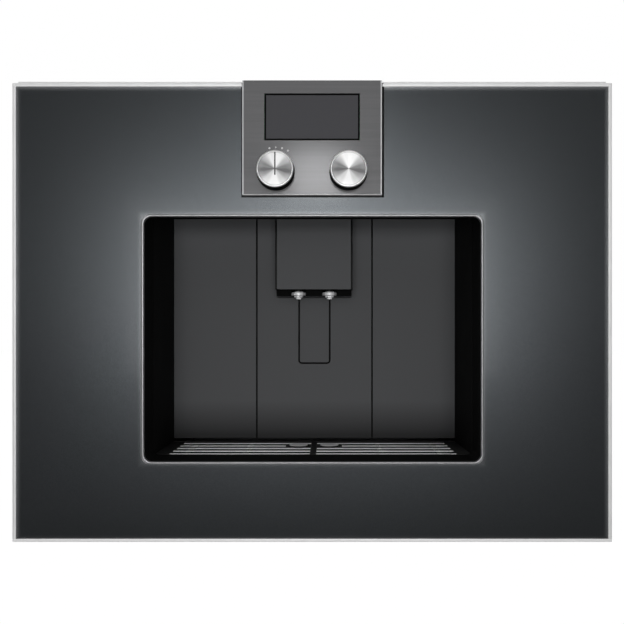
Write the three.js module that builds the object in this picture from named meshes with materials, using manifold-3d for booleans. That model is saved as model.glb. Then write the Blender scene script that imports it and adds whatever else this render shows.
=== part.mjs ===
// Built in coffee machine, in millimetres.
// +X to the right seen from the front, +Y into the cabinet, +Z up.
// The origin is the middle of the underside of the housing, which rests on the niche floor.

import * as THREE from 'three';
import { mergeVertices } from 'three/addons/utils/BufferGeometryUtils.js';
import Module from 'manifold-3d';

const wasm = await Module();
wasm.setup();

// ---- clearances ----
const fit = 0.3;                    // between pieces that rest on each other
const running = 0.3;                // round a turning or sliding piece

// ---- housing, of sheet steel ----
const housingWidth = 556;
const housingDepth = 488;
const housingHeight = 449;
const sheet = 0.8;
const fasciaThickness = 3;

// ---- door ----
const doorWidth = 590;
const doorHeight = 451.5;           // to the top corners
const doorLift = 2;                 // door's lower edge above the niche floor
const doorProud = 47;               // door's front plane ahead of the housing
const doorGap = 2.5;                // between the closed door and the housing
const glassThickness = 4;
const trimFace = 3.6;               // metal edge seen from the front
const topTrimFace = 3.6;
const stripRise = 1.3;              // raised strip along the top edge
const stripInset = 6;
const innerPanelThickness = 2;

// ---- window in the door, and the serving recess behind it ----
const windowWidth = 331.2;
const windowSill = 81.5;
const windowDrop = 132;             // window's top edge below the door's top corners
const windowRadius = 7;
const rimFace = 2.5;
const linerWall = 2;
const linerRise = 9;                // liner's opening above the window's top edge
const recessDepth = 160;            // door's front plane to the back wall
const recessHeadroom = 28;          // ceiling above the window's top
const recessWall = 3;
const backWallSheet = 2;
const backWallLift = 3.5;           // back wall's lower edge above the sill
const centrePanelWidth = 134.5;
const panelJoint = 1.5;

// ---- outlet and its guide ----
const channelWidth = 36.2;
const channelRadius = 4.7;
const outletTravel = 80;
const channelOverrun = 4.3;         // channel's lower end below the cover's lowest position
const outletWidth = 86;
const outletDepth = 45;             // front face to the back wall
const outletDrop = 63.9;            // cover's lower edge at rest, below the window's top
const coverThickness = 3;
const baseDrop = 7.4;               // black lower section below the cover
const baseSetback = 9;
const nozzleSpacing = 35;
const nozzleFlangeRadius = 8.2;
const nozzleRadius = 5.1;
const nozzleTipRadius = 2.8;
const nozzleLength = 10.6;
const shutterSheet = 1;
const shutterLap = 4;               // shutter beyond each edge of the channel
const railRadius = 4;
const railSpacing = 60;
const carriageHeight = 66;
const carriageDepth = 22;

// ---- drip tray and grille ----
const trayDepth = 222;
const trayWall = 2;
const groundsDepth = 96;
const groundsDrop = 2;              // grounds container's rim below the tray's
const grilleThickness = 3;
const slatCount = 5;
const slatWidth = 10.5;
const slatPitch = 21.6;
const slatLength = 146.8;
const slatFirst = 54.5;             // first slat's middle behind the door's front plane
const slatThickness = 1.6;
const ribWidth = 6.8;
const dishRadius = 14;
const dishDepth = 1.2;

// ---- control module on the door ----
const moduleWidth = 136.8;
const moduleHeight = 112.6;
const moduleProud = 5;
const moduleDepth = 34;
const moduleWall = 2.5;
const moduleGap = 0.8;
const displayWidth = 93;
const displayHeight = 45.5;
const displayDrop = 13.2;           // display's top edge below the module's
const knobSpacing = 71;
const knobDrop = 89.6;              // knob centres below the module's top edge
const knobRadius = 18;
const knobLength = 14.4;
const knobStandoff = 0.6;
const knobChamfer = 0.9;
const shaftRadius = 3;
const boardThickness = 1.6;
const encoderSize = 16;
const shaftPlay = 1;
const shaftLap = 9.4;               // shaft inside the knob
const pointerWidth = 1.1;
const pointerDepth = 0.5;
const pointerOuter = 16.1;          // engraved line, from the centre outwards
const pointerInner = -6.1;

// ---- hinges ----
const hingeInset = 10;              // pin from the door's left edge
const hingeSetback = 20.5;          // pin behind the door's front plane
const hingeEdge = 18;               // arm's outer face from the door's top or bottom
const pinRadius = 3;
const pinLength = 14;
const armThickness = 5;
const bracketThickness = 1.3;
const bracketHeight = 42;
const bracketWidth = 21;
const bracketInset = 4;             // flange from the housing's side
const flangeLap = 8;                // flange beyond the arm
const hingeBlockWidth = 30;
const hingeBlockHeight = 18;

// ---- side bays ----
const bayClearance = 2;
const tankDepth = 110;
const tankWall = 2;
const lidThickness = 2.5;
const beanShelfLift = 304;
const beanDepth = 150;
const beanHeight = 118;

// ---- brewing, grinding, water and electrics behind the recess ----
const brewerWidth = 84;
const brewerHeight = 190;
const brewerPlate = 6;
const chamberRadius = 28;
const chamberBore = 22;
const chamberHeight = 62;
const pistonStroke = 28;
const pistonHeight = 16;
const spindleRadius = 4;
const deckFront = -60;
const grinderRadius = 38;
const grinderHeight = 40;
const grinderWall = 5;
const burrRadius = 30;
const motorRadius = 27;
const motorHeight = 70;
const fanSize = 80;
const fanDepth = 25;
const fanBore = 37;
const fanHub = 15;
const fanPost = 8;
const bladeCount = 7;
const pumpRadius = 26;
const pumpLength = 62;
const heaterWidth = 96;
const heaterDepth = 60;
const heaterHeight = 130;
const powerBoardWidth = 120;
const powerBoardDepth = 150;
const powerBoardInset = 10;
const transformerHeight = 38;
const relayHeight = 22;
const capacitorHeight = 34;
const capacitorRadius = 11;
const inletWidth = 46;
const inletHeight = 26;
const inletDepth = 22;
const inletFloor = 6;
const rockerWidth = 20;
const rockerHeight = 20;
const rockerDepth = 8;
const rockerPlay = 1.2;             // room to rock in, above and below
const rockerSetback = 1;            // behind the fascia's face

// ---- planes and limits worked out from the sizes above ----
const frontY = -housingDepth / 2;
const backY = housingDepth / 2;
const doorFrontY = frontY - doorProud;
const doorBackY = frontY - doorGap;
const floorZ = sheet + fit;
const roofZ = housingHeight - sheet - fit;
const insideX = housingWidth / 2 - sheet - fit;
const insideBackY = backY - sheet - fit;
const windowX = windowWidth / 2;
const windowTop = doorLift + doorHeight - windowDrop;
const outletLowest = windowTop - outletDrop;
const wallFrontY = doorFrontY + recessDepth;
const wallBackY = wallFrontY + backWallSheet;
const ceilingZ = windowTop + recessHeadroom;
const ceilingTopZ = ceilingZ + sheet;
const wallBottomZ = windowSill + backWallLift;
const wallTopZ = ceilingZ - fit;
const bayX = windowX + recessWall + fit;
const bayMiddleX = (bayX + insideX) / 2;
const grilleBottomZ = windowSill - grilleThickness;
const grilleFrontY = frontY + fit;
const shelfTopZ = grilleBottomZ;
const channelBottomZ = outletLowest - outletTravel - channelOverrun;
const moduleTopZ = doorLift + doorHeight + stripRise;
const moduleBottomZ = moduleTopZ - moduleHeight;
const moduleFrontY = doorFrontY - moduleProud;
const knobZ = moduleTopZ - knobDrop;
const doorX = doorWidth / 2;
const doorTopZ = doorLift + doorHeight;
const pinX = -doorX + hingeInset;
const pinY = doorFrontY + hingeSetback;
const beanShelfTopZ = beanShelfLift + sheet;
const deckTopZ = beanShelfTopZ;

// ---- finishes ----
const finishes = {
  housingSteel: { color: 0x9b9ea1, roughness: 0.45, metalness: 0.9 },
  darkPlastic: { color: 0x1b1c1e, roughness: 0.6, metalness: 0 },
  castAluminium: { color: 0xa9abad, roughness: 0.5, metalness: 1 },
  recessGrey: { color: 0x434446, roughness: 0.5, metalness: 0.3 },
  frontGlass: { color: 0x3a4043, roughness: 0.15, metalness: 0.4 },
  edgeSteel: { color: 0xb9bbbd, roughness: 0.3, metalness: 1 },
  moduleSteel: { color: 0x77787b, roughness: 0.35, metalness: 1 },
  displayGlass: { color: 0x434347, roughness: 0.1, metalness: 0 },
  knobAluminium: { color: 0xd4d5d6, roughness: 0.25, metalness: 1 },
  slatSteel: { color: 0xc4c5c5, roughness: 0.3, metalness: 1 },
  clearPlastic: { color: 0x8f999f, roughness: 0.2, metalness: 0 },
  board: { color: 0x1f5b3a, roughness: 0.6, metalness: 0 },
  rockerBlack: { color: 0x101011, roughness: 0.4, metalness: 0 },
};

// ---- shapes ----

// A box between two corners.
function block(x0, x1, y0, y1, z0, z1) {
  const geometry = new THREE.BoxGeometry(x1 - x0, y1 - y0, z1 - z0);
  geometry.translate((x0 + x1) / 2, (y0 + y1) / 2, (z0 + z1) / 2);
  return geometry;
}

// A closed outline through the given points.
function polygon(points) {
  return new THREE.Shape(points.map(([u, v]) => new THREE.Vector2(u, v)));
}

// A rectangle with round corners, as a Shape or as a Path for a hole.
function roundedRectangle(Outline, u0, u1, v0, v1, radius) {
  const outline = new Outline();
  outline.moveTo(u0 + radius, v0);
  outline.lineTo(u1 - radius, v0);
  outline.absarc(u1 - radius, v0 + radius, radius, -Math.PI / 2, 0, false);
  outline.lineTo(u1, v1 - radius);
  outline.absarc(u1 - radius, v1 - radius, radius, 0, Math.PI / 2, false);
  outline.lineTo(u0 + radius, v1);
  outline.absarc(u0 + radius, v1 - radius, radius, Math.PI / 2, Math.PI, false);
  outline.lineTo(u0, v0 + radius);
  outline.absarc(u0 + radius, v0 + radius, radius, Math.PI, 1.5 * Math.PI, false);
  return outline;
}

// A square-cornered hole.
function rectangularHole(u0, u1, v0, v1) {
  return new THREE.Path([[u0, v0], [u0, v1], [u1, v1], [u1, v0]].map(([u, v]) => new THREE.Vector2(u, v)));
}

function extruded(shape, depth, steps) {
  return new THREE.ExtrudeGeometry(shape, { depth, bevelEnabled: false, curveSegments: steps });
}

// A plate that faces the front: the shape's axes are X and Z, and it runs from y0 to y1.
function frontPlate(shape, y0, y1, steps = 4) {
  return extruded(shape, y1 - y0, steps).rotateX(Math.PI / 2).translate(0, y1, 0);
}

// A plate that lies flat: the shape's axes are X and Y.
function flatPlate(shape, z0, z1, steps = 4) {
  return extruded(shape, z1 - z0, steps).translate(0, 0, z0);
}

// A profile in Y and Z carried along X.
function alongX(shape, x0, x1, steps = 4) {
  const turn = new THREE.Matrix4().makeBasis(
    new THREE.Vector3(0, 1, 0), new THREE.Vector3(0, 0, 1), new THREE.Vector3(1, 0, 0));
  return extruded(shape, x1 - x0, steps).applyMatrix4(turn).translate(x0, 0, 0);
}

// A turned piece about the Z axis: points are [radius, height], from the bottom up.
function turnedUp(points, segments, x, y) {
  const profile = points.map(([radius, height]) => new THREE.Vector2(radius, height));
  return new THREE.LatheGeometry(profile, segments).rotateX(Math.PI / 2).translate(x, y, 0);
}

// A turned piece about the Y axis: points are [radius, y], from the front to the back.
function turnedBack(points, segments, x, z) {
  const profile = points.map(([radius, y]) => new THREE.Vector2(radius, y));
  return new THREE.LatheGeometry(profile, segments).translate(x, 0, z);
}

function uprightCylinder(radius, z0, z1, x, y, segments = 32) {
  return turnedUp([[0, z0], [radius, z0], [radius, z1], [0, z1]], segments, x, y);
}

function levelCylinder(radius, y0, y1, x, z, segments = 32) {
  return turnedBack([[0, y0], [radius, y0], [radius, y1], [0, y1]], segments, x, z);
}

// ---- cutting and joining ----

// A solid from a closed geometry; a solid that is already made stays as it is.
function toSolid(shape) {
  if (shape instanceof wasm.Manifold) {
    return shape;
  }
  const bare = shape.clone();
  bare.deleteAttribute('normal');
  bare.deleteAttribute('uv');
  const merged = mergeVertices(bare, 1e-4);
  return new wasm.Manifold(new wasm.Mesh({
    numProp: 3,
    vertProperties: new Float32Array(merged.attributes.position.array),
    triVerts: new Uint32Array(merged.index.array),
  }));
}

function toGeometry(shape) {
  if (shape instanceof THREE.BufferGeometry) {
    return shape;
  }
  const mesh = shape.getMesh();
  const geometry = new THREE.BufferGeometry();
  geometry.setAttribute('position', new THREE.BufferAttribute(mesh.vertProperties, 3));
  geometry.setIndex(new THREE.BufferAttribute(mesh.triVerts, 1));
  return geometry;
}

function cut(shape, ...tools) {
  return tools.reduce((solid, tool) => solid.subtract(toSolid(tool)), toSolid(shape));
}

function join(shape, ...others) {
  return others.reduce((solid, other) => solid.add(toSolid(other)), toSolid(shape));
}

// An open-topped box with walls and a floor.
function openBox(x0, x1, y0, y1, z0, z1, wall) {
  const outside = block(x0, x1, y0, y1, z0, z1);
  return cut(outside, block(x0 + wall, x1 - wall, y0 + wall, y1 - wall, z0 + wall, z1 + wall));
}

function piece(name, shape, finish) {
  const mesh = new THREE.Mesh(toGeometry(shape), new THREE.MeshStandardMaterial(finishes[finish]));
  mesh.name = name;
  return mesh;
}

function assembly(...members) {
  const group = new THREE.Group();
  group.add(...members);
  return group;
}

// ---- housing ----

function makeHousing() {
  const ventCount = 12;
  const ventWidth = 6;
  const ventLength = 60;
  const ventPitch = 14;
  const louvreCount = 7;
  const louvreHeight = 4;
  const louvrePitch = fanSize / (louvreCount + 1);
  const louvreX = 0.4 * fanSize;
  const halfWidth = housingWidth / 2;

  const base = block(-halfWidth, halfWidth, frontY, backY, 0, sheet);
  const sides = [-1, 1].map((side) => {
    const outer = side * halfWidth;
    const inner = side * (halfWidth - sheet);
    return block(Math.min(outer, inner), Math.max(outer, inner), frontY, backY, floorZ, roofZ);
  });

  // Two rows of vents in the cover.
  const vents = [];
  for (const rowY of [backY - 2 * ventLength, backY - 4 * ventLength]) {
    for (let i = 0; i < ventCount; i += 1) {
      const x = (i - (ventCount - 1) / 2) * ventPitch;
      vents.push(block(x - ventWidth / 2, x + ventWidth / 2, rowY, rowY + ventLength, roofZ, housingHeight + 1));
    }
  }
  const cover = block(-halfWidth, halfWidth, frontY, backY, housingHeight - sheet, housingHeight);

  // Louvres behind the fan, and the cut-out for the mains inlet.
  const openings = [];
  for (let i = 1; i <= louvreCount; i += 1) {
    const z = deckTopZ + fit + i * louvrePitch;
    openings.push(block(-louvreX, louvreX, insideBackY, backY + 1, z - louvreHeight / 2, z + louvreHeight / 2));
  }
  openings.push(block(inletX() - inletWidth / 2 - fit, inletX() + inletWidth / 2 + fit, insideBackY, backY + 1,
    inletZ() - inletHeight / 2 - fit, inletZ() + inletHeight / 2 + fit));
  const back = block(-insideX, insideX, backY - sheet, backY, floorZ, roofZ);

  return assembly(
    piece('base_pan', base, 'housingSteel'),
    piece('side_panel_left', sides[0], 'housingSteel'),
    piece('side_panel_right', sides[1], 'housingSteel'),
    piece('top_cover', cut(cover, ...vents), 'housingSteel'),
    piece('back_panel', cut(back, ...openings), 'housingSteel'),
  );
}

// Where the mains inlet sits in the back panel.
function inletX() {
  return -insideX + 2 * inletWidth;
}

function inletZ() {
  return floorZ + 2 * inletHeight;
}

// ---- fascia and shelves, seen when the door is open ----

function makeFascia() {
  const rocker = rockerPlace();
  const top = polygon([[-insideX, ceilingTopZ + fit], [bayX - fit, ceilingTopZ + fit],
    [bayX - fit, roofZ], [-insideX, roofZ]]);
  const holeTop = rockerHeight / 2 + rockerPlay;
  top.holes.push(rectangularHole(rocker.x - rockerWidth / 2 - fit, rocker.x + rockerWidth / 2 + fit,
    rocker.z - holeTop, rocker.z + holeTop));

  // Each bay has an L-shaped shelf whose apron closes the front below it.
  const shelfBack = frontY + fasciaThickness + tankDepth + 2 * bayClearance;
  const shelf = polygon([[frontY, floorZ], [frontY + fasciaThickness, floorZ],
    [frontY + fasciaThickness, shelfTopZ - recessWall], [shelfBack, shelfTopZ - recessWall],
    [shelfBack, shelfTopZ], [frontY, shelfTopZ]]);
  const beanShelfFront = frontY + fasciaThickness + fit;
  const beanShelf = block(bayX, insideX, beanShelfFront, deckFront - fit, beanShelfLift, beanShelfTopZ);
  const deck = block(-insideX, insideX, deckFront, insideBackY, beanShelfLift, deckTopZ);

  return assembly(
    piece('fascia_top', frontPlate(top, frontY, frontY + fasciaThickness), 'darkPlastic'),
    piece('tank_bay_shelf', alongX(shelf, -insideX, -bayX), 'darkPlastic'),
    piece('brewer_bay_shelf', alongX(shelf, bayX, insideX), 'darkPlastic'),
    piece('bean_shelf', beanShelf, 'darkPlastic'),
    piece('rear_deck', deck, 'housingSteel'),
  );
}

// The main switch sits at the right of the upper fascia.
function rockerPlace() {
  return {
    x: windowX - 2 * rockerWidth,
    y: frontY + rockerDepth / 2 + rockerSetback,
    z: (ceilingTopZ + roofZ) / 2,
  };
}

function makeRocker() {
  const { x, y, z } = rockerPlace();
  const rocker = block(x - rockerWidth / 2, x + rockerWidth / 2, y - rockerDepth / 2, y + rockerDepth / 2,
    z - rockerHeight / 2, z + rockerHeight / 2);
  return piece('main_switch_rocker', rocker, 'rockerBlack');
}

// ---- serving recess ----

function makeRecess() {
  const sideTop = ceilingTopZ;
  const side = (inner, outer) => block(inner, outer, frontY, wallBackY, floorZ, sideTop);
  const ceilingX = windowX - fit;
  const ceilingFront = frontY + fasciaThickness + fit;
  const ceiling = block(-ceilingX, ceilingX, ceilingFront, wallBackY, ceilingZ, ceilingTopZ);

  const centreX = centrePanelWidth / 2;
  const outerX = centreX + panelJoint;
  const wingX = windowX - fit;
  const wing = (x0, x1) => block(x0, x1, wallFrontY, wallBackY, wallBottomZ, wallTopZ);

  // The centre panel is open at its top for the outlet's channel.
  const channelX = channelWidth / 2;
  const centre = new THREE.Shape();
  centre.moveTo(-centreX, wallBottomZ);
  centre.lineTo(centreX, wallBottomZ);
  centre.lineTo(centreX, wallTopZ);
  centre.lineTo(channelX, wallTopZ);
  centre.lineTo(channelX, channelBottomZ + channelRadius);
  const cornerX = channelX - channelRadius;
  const cornerZ = channelBottomZ + channelRadius;
  centre.absarc(cornerX, cornerZ, channelRadius, 0, -Math.PI / 2, true);
  centre.lineTo(-cornerX, channelBottomZ);
  centre.absarc(-cornerX, cornerZ, channelRadius, -Math.PI / 2, -Math.PI, true);
  centre.lineTo(-channelX, wallTopZ);
  centre.lineTo(-centreX, wallTopZ);

  return assembly(
    piece('recess_side_left', side(-windowX - recessWall, -windowX), 'darkPlastic'),
    piece('recess_side_right', side(windowX, windowX + recessWall), 'darkPlastic'),
    piece('recess_ceiling', ceiling, 'darkPlastic'),
    piece('recess_wall_left', wing(-wingX, -outerX), 'recessGrey'),
    piece('recess_wall_centre', frontPlate(centre, wallFrontY, wallBackY, 5), 'recessGrey'),
    piece('recess_wall_right', wing(outerX, wingX), 'recessGrey'),
  );
}

// ---- drip tray, grounds container and grille ----

function makeTray() {
  const trayX = windowX - fit;
  const trayTop = grilleBottomZ - fit;
  const trayFront = frontY + fit;
  const trayBack = trayFront + trayDepth;
  const tray = openBox(-trayX, trayX, trayFront, trayBack, floorZ, trayTop, trayWall);

  // The grounds container stands in the rear of the tray, behind the back wall.
  const groundsX = trayX - trayWall - bayClearance;
  const groundsBack = trayBack - trayWall - bayClearance;
  const grounds = openBox(-groundsX, groundsX, groundsBack - groundsDepth + trayWall, groundsBack,
    floorZ + trayWall + fit, trayTop - groundsDrop, trayWall);

  return assembly(
    piece('drip_tray', tray, 'darkPlastic'),
    piece('grounds_container', grounds, 'darkPlastic'),
  );
}

function makeGrille() {
  const frameX = windowX - fit;
  const frameBack = wallFrontY - fit;
  const ribX = ribWidth / 2;
  const slatX = ribX + slatLength;
  const slatsFrontY = doorFrontY + slatFirst - slatWidth / 2;
  const slatsBackY = slatsFrontY + (slatCount - 1) * slatPitch + slatWidth;
  const border = Math.min(slatPitch - slatWidth, frameBack - slatsBackY) / 2;

  const frame = block(-frameX, frameX, grilleFrontY, frameBack, grilleBottomZ, windowSill);
  const windowFront = slatsFrontY - fit;
  const windowBack = slatsBackY + border;
  const windows = [[-slatX - fit, -ribX + fit], [ribX - fit, slatX + fit]].map(([x0, x1]) => block(
    x0, x1, windowFront, windowBack, grilleBottomZ - 1, windowSill + 1));
  // The rib between the two halves is set back so that the cross bars pass below it.
  const barHeight = grilleThickness - slatThickness;
  const barInset = 12;
  const barWidth = 5;
  const underRib = block(-slatX, slatX, windowFront, windowBack,
    grilleBottomZ - fit, grilleBottomZ + barHeight + fit);

  // Five steel slats each side, joined underneath by cross bars, with two round cup dishes below the nozzles.
  const top = windowSill;
  const slatBottom = windowSill - slatThickness;
  const bars = [];
  for (const x of [-slatX + barInset, -slatX / 2, slatX / 2 - barWidth, slatX - barInset - barWidth]) {
    bars.push(block(x, x + barWidth, slatsFrontY, slatsBackY, grilleBottomZ, slatBottom + fit));
  }
  const linkFront = slatsFrontY + slatPitch * 2;
  const link = block(-slatX + barInset, slatX - barInset, linkFront, linkFront + slatWidth,
    grilleBottomZ, grilleBottomZ + barHeight - fit);
  const slats = [];
  for (let i = 0; i < slatCount; i += 1) {
    const y = slatsFrontY + i * slatPitch;
    const meetsDish = Math.abs(y + slatWidth / 2 - nozzleY()) < slatWidth;
    const innerX = meetsDish ? nozzleSpacing / 2 : ribX;
    for (const [x0, x1] of [[-slatX, -innerX], [innerX, slatX]]) {
      slats.push(block(x0, x1, y, y + slatWidth, slatBottom, top));
    }
  }
  const slatted = join(bars[0], ...bars.slice(1), link, ...slats);
  const dishes = [-1, 1].map((side) => turnedUp([
    [0, grilleBottomZ], [dishRadius - 1, grilleBottomZ], [dishRadius, top],
    [dishRadius - 1.5, top], [dishRadius * 0.6, top - dishDepth], [0, top - dishDepth],
  ], 32, side * nozzleSpacing / 2, nozzleY()));
  const hollows = [-1, 1].map((side) => uprightCylinder(dishRadius - 1, slatBottom - fit, top + 1,
    side * nozzleSpacing / 2, nozzleY()));
  const steel = join(cut(slatted, ...hollows), ...dishes);

  return assembly(
    piece('grille_frame', cut(frame, ...windows, underRib), 'darkPlastic'),
    piece('grille_slats', steel, 'slatSteel'),
  );
}

// ---- outlet: front cover, body, nozzles, carriage and guide ----

function nozzleY() {
  return wallFrontY - outletDepth + baseSetback;
}

function makeOutlet() {
  const halfWidth = outletWidth / 2;
  const faceY = wallFrontY - outletDepth;
  const topZ = ceilingZ - 2 * fit;
  const backY = wallFrontY - fit * 2;
  const bodyFront = faceY + coverThickness + fit;
  const bodyLap = 0.5;                // body wider than the cover, each side
  const railEnd = 10;                 // rod beyond the carriage at either end of its travel
  const beamHeight = 15;
  const beamWall = 1;
  const bossWidth = channelWidth - 2 * channelRadius;
  const bossBottom = outletLowest + shutterLap;
  const bossTop = bossBottom + carriageHeight;

  const cover = block(-halfWidth, halfWidth, faceY, faceY + coverThickness, outletLowest, topZ);
  const upper = block(-halfWidth - bodyLap, halfWidth + bodyLap, bodyFront, backY, outletLowest, topZ);
  const lower = block(-halfWidth + bodyLap, halfWidth - bodyLap, nozzleY() + 1, backY,
    outletLowest - baseDrop, outletLowest + 1);
  const boss = block(-bossWidth / 2, bossWidth / 2, backY - 1, wallBackY - fit * 2, bossBottom, bossTop);
  const seats = [-1, 1].map((sign) => uprightCylinder(nozzleFlangeRadius + fit,
    outletLowest - baseDrop - 1, outletLowest, sign * nozzleSpacing / 2, nozzleY()));
  const body = cut(join(upper, lower, boss), ...seats);

  // From the tip up: a small spout that widens, a body with a flange round its middle, and a neck.
  const spoutLength = 2;
  const spoutTaper = 0.4;
  const bodyRise = 2.4;               // body's lower edge above the tip
  const flangeRise = 3.9;             // flange's lower edge above the tip
  const flangeHeight = 4.2;
  const flangeSlope = 0.6;
  const neckRadius = 3.6;
  const neckLength = 1.3;
  const neckTop = outletLowest - fit;
  const tipZ = neckTop - nozzleLength;
  const bodyZ = tipZ + bodyRise;
  const flangeZ = tipZ + flangeRise;
  const flangeTopZ = flangeZ + flangeHeight;
  const bodyTopZ = neckTop - neckLength;
  const nozzles = [-1, 1].map((sign) => turnedUp([
    [0, tipZ], [nozzleTipRadius, tipZ], [nozzleTipRadius + spoutTaper, tipZ + spoutLength],
    [nozzleRadius, bodyZ], [nozzleRadius, flangeZ],
    [nozzleFlangeRadius, flangeZ + flangeSlope], [nozzleFlangeRadius, flangeTopZ - flangeSlope],
    [nozzleRadius, flangeTopZ], [nozzleRadius, bodyTopZ],
    [neckRadius, bodyTopZ], [neckRadius, neckTop], [0, neckTop],
  ], 28, sign * nozzleSpacing / 2, nozzleY()));

  // Behind the wall a strip closes the channel at every height, and the carriage rides on two rods.
  const stripFront = wallBackY + fit;
  const stripBack = stripFront + shutterSheet;
  const stripX = channelWidth / 2 + shutterLap;
  const strip = block(-stripX, stripX, stripFront, stripBack,
    channelBottomZ - shutterLap, topZ + outletTravel + fit);
  const railX = railSpacing / 2;
  const railY = stripBack + carriageDepth / 2;
  const carriageX = railX + 2 * railRadius;
  const carriage = block(-carriageX, carriageX, stripBack - fit, stripBack + carriageDepth, bossBottom, bossTop);
  const bores = [-1, 1].map((sign) => uprightCylinder(railRadius + running, bossBottom - 1, bossTop + 1,
    sign * railX, railY, 24));

  const lowestCarriage = bossBottom - outletTravel;
  const frameBottom = lowestCarriage - railEnd;
  const frameTop = Math.min(bossTop + railEnd, roofZ - beamHeight - fit);
  const beamX = windowX - fit;
  const beamFront = railY - railRadius - beamWall;
  const beamBack = railY + railRadius + beamWall;
  const beam = (z) => block(-beamX, beamX, beamFront, beamBack, z, z + beamHeight);
  const rails = [-1, 1].map((sign) => uprightCylinder(railRadius, frameBottom - 1, frameTop + 1,
    sign * railX, railY, 24));
  const uprights = [-1, 1].map((sign) => block(Math.min(sign * beamX, sign * (beamX - beamHeight)),
    Math.max(sign * beamX, sign * (beamX - beamHeight)), wallBackY + fit, beamBack,
    frameBottom - beamHeight, frameTop + beamHeight));
  const guide = join(beam(frameBottom - beamHeight), beam(frameTop), ...uprights, ...rails);

  return assembly(
    piece('outlet_cover', cover, 'recessGrey'),
    piece('outlet_body', body, 'darkPlastic'),
    piece('nozzle_left', nozzles[0], 'slatSteel'),
    piece('nozzle_right', nozzles[1], 'slatSteel'),
    piece('outlet_carriage', cut(join(strip, carriage), ...bores), 'recessGrey'),
    piece('outlet_guide', guide, 'castAluminium'),
  );
}

// ---- door ----

// The two hinge arms' heights: [arm's low side, arm's high side, direction of the pin].
function hingeLevels() {
  const lower = doorLift + hingeEdge;
  const upper = doorTopZ - hingeEdge - armThickness;
  return [[lower, lower + armThickness, 1], [upper, upper + armThickness, -1]];
}

function makeDoor() {
  const glassX = doorX - trimFace - fit;
  const glassBottom = doorLift + trimFace + fit;
  const trimInnerTop = doorTopZ - topTrimFace;
  const glassTop = trimInnerTop - fit;
  const notchX = moduleWidth / 2 + moduleGap;
  const notchZ = moduleBottomZ - moduleGap;
  const glassBackY = doorFrontY + glassThickness;

  // Glass front, with the window cut out and the control module let in from its top edge.
  const glass = polygon([[-glassX, glassBottom], [glassX, glassBottom], [glassX, glassTop], [notchX, glassTop],
    [notchX, notchZ], [-notchX, notchZ], [-notchX, glassTop], [-glassX, glassTop]]);
  const rimX = windowX + rimFace;
  glass.holes.push(roundedRectangle(THREE.Path, -rimX - fit, rimX + fit, windowSill - rimFace - fit,
    windowTop + rimFace + fit, windowRadius + rimFace + fit));

  // Metal edge all round, broken only by the module.
  const stripX = doorX - stripInset;
  const stripTop = doorTopZ + stripRise;
  const innerX = doorX - trimFace;
  const innerBottom = doorLift + trimFace;
  const edge = polygon([[-notchX, stripTop], [-stripX, stripTop], [-stripX, doorTopZ], [-doorX, doorTopZ],
    [-doorX, doorLift], [doorX, doorLift], [doorX, doorTopZ], [stripX, doorTopZ], [stripX, stripTop],
    [notchX, stripTop], [notchX, trimInnerTop], [innerX, trimInnerTop], [innerX, innerBottom],
    [-innerX, innerBottom], [-innerX, trimInnerTop], [-notchX, trimInnerTop]]);
  const edgeBackY = doorBackY - 1;
  const armSlots = hingeLevels().map(([low, high]) => block(-doorX - 1, -doorX + trimFace + 1,
    pinY - 2 * pinRadius, doorBackY, low - sheet, high + sheet));
  const edgeSolid = cut(frontPlate(edge, doorFrontY, edgeBackY), ...armSlots);

  // Rim round the window, and the dark liner behind it.
  const rim = roundedRectangle(THREE.Shape, -rimX, rimX, windowSill - rimFace, windowTop + rimFace,
    windowRadius + rimFace);
  rim.holes.push(roundedRectangle(THREE.Path, -windowX, windowX, windowSill, windowTop, windowRadius));
  const linerX = windowX + linerWall;
  const linerTop = windowTop + linerRise;
  const liner = roundedRectangle(THREE.Shape, -linerX, linerX, windowSill - linerWall, linerTop + linerWall,
    windowRadius + linerWall);
  liner.holes.push(roundedRectangle(THREE.Path, -windowX, windowX, windowSill, linerTop, windowRadius));

  // Inner panel that closes the door's back.
  const panelX = innerX - fit;
  const panel = polygon([[-panelX, glassBottom], [panelX, glassBottom], [panelX, glassTop], [-panelX, glassTop]]);
  const linerHole = linerX + fit;
  panel.holes.push(roundedRectangle(THREE.Path, -linerHole, linerHole, windowSill - linerWall - fit,
    linerTop + linerWall + fit, windowRadius + linerWall + fit));
  const panelFrontY = doorBackY - innerPanelThickness;
  const panelSlots = hingeLevels().map(([low, high]) => block(-doorX, -housingWidth / 2 + bracketWidth,
    panelFrontY - 1, doorBackY + 1, low - sheet, high + sheet));

  return assembly(
    piece('door_glass', frontPlate(glass, doorFrontY, glassBackY), 'frontGlass'),
    piece('door_edge', edgeSolid, 'edgeSteel'),
    piece('window_rim', frontPlate(rim, doorFrontY, glassBackY), 'edgeSteel'),
    piece('window_liner', frontPlate(liner, glassBackY + fit, doorBackY), 'darkPlastic'),
    piece('door_inner_panel', cut(frontPlate(panel, panelFrontY, doorBackY), ...panelSlots), 'darkPlastic'),
  );
}

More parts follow.
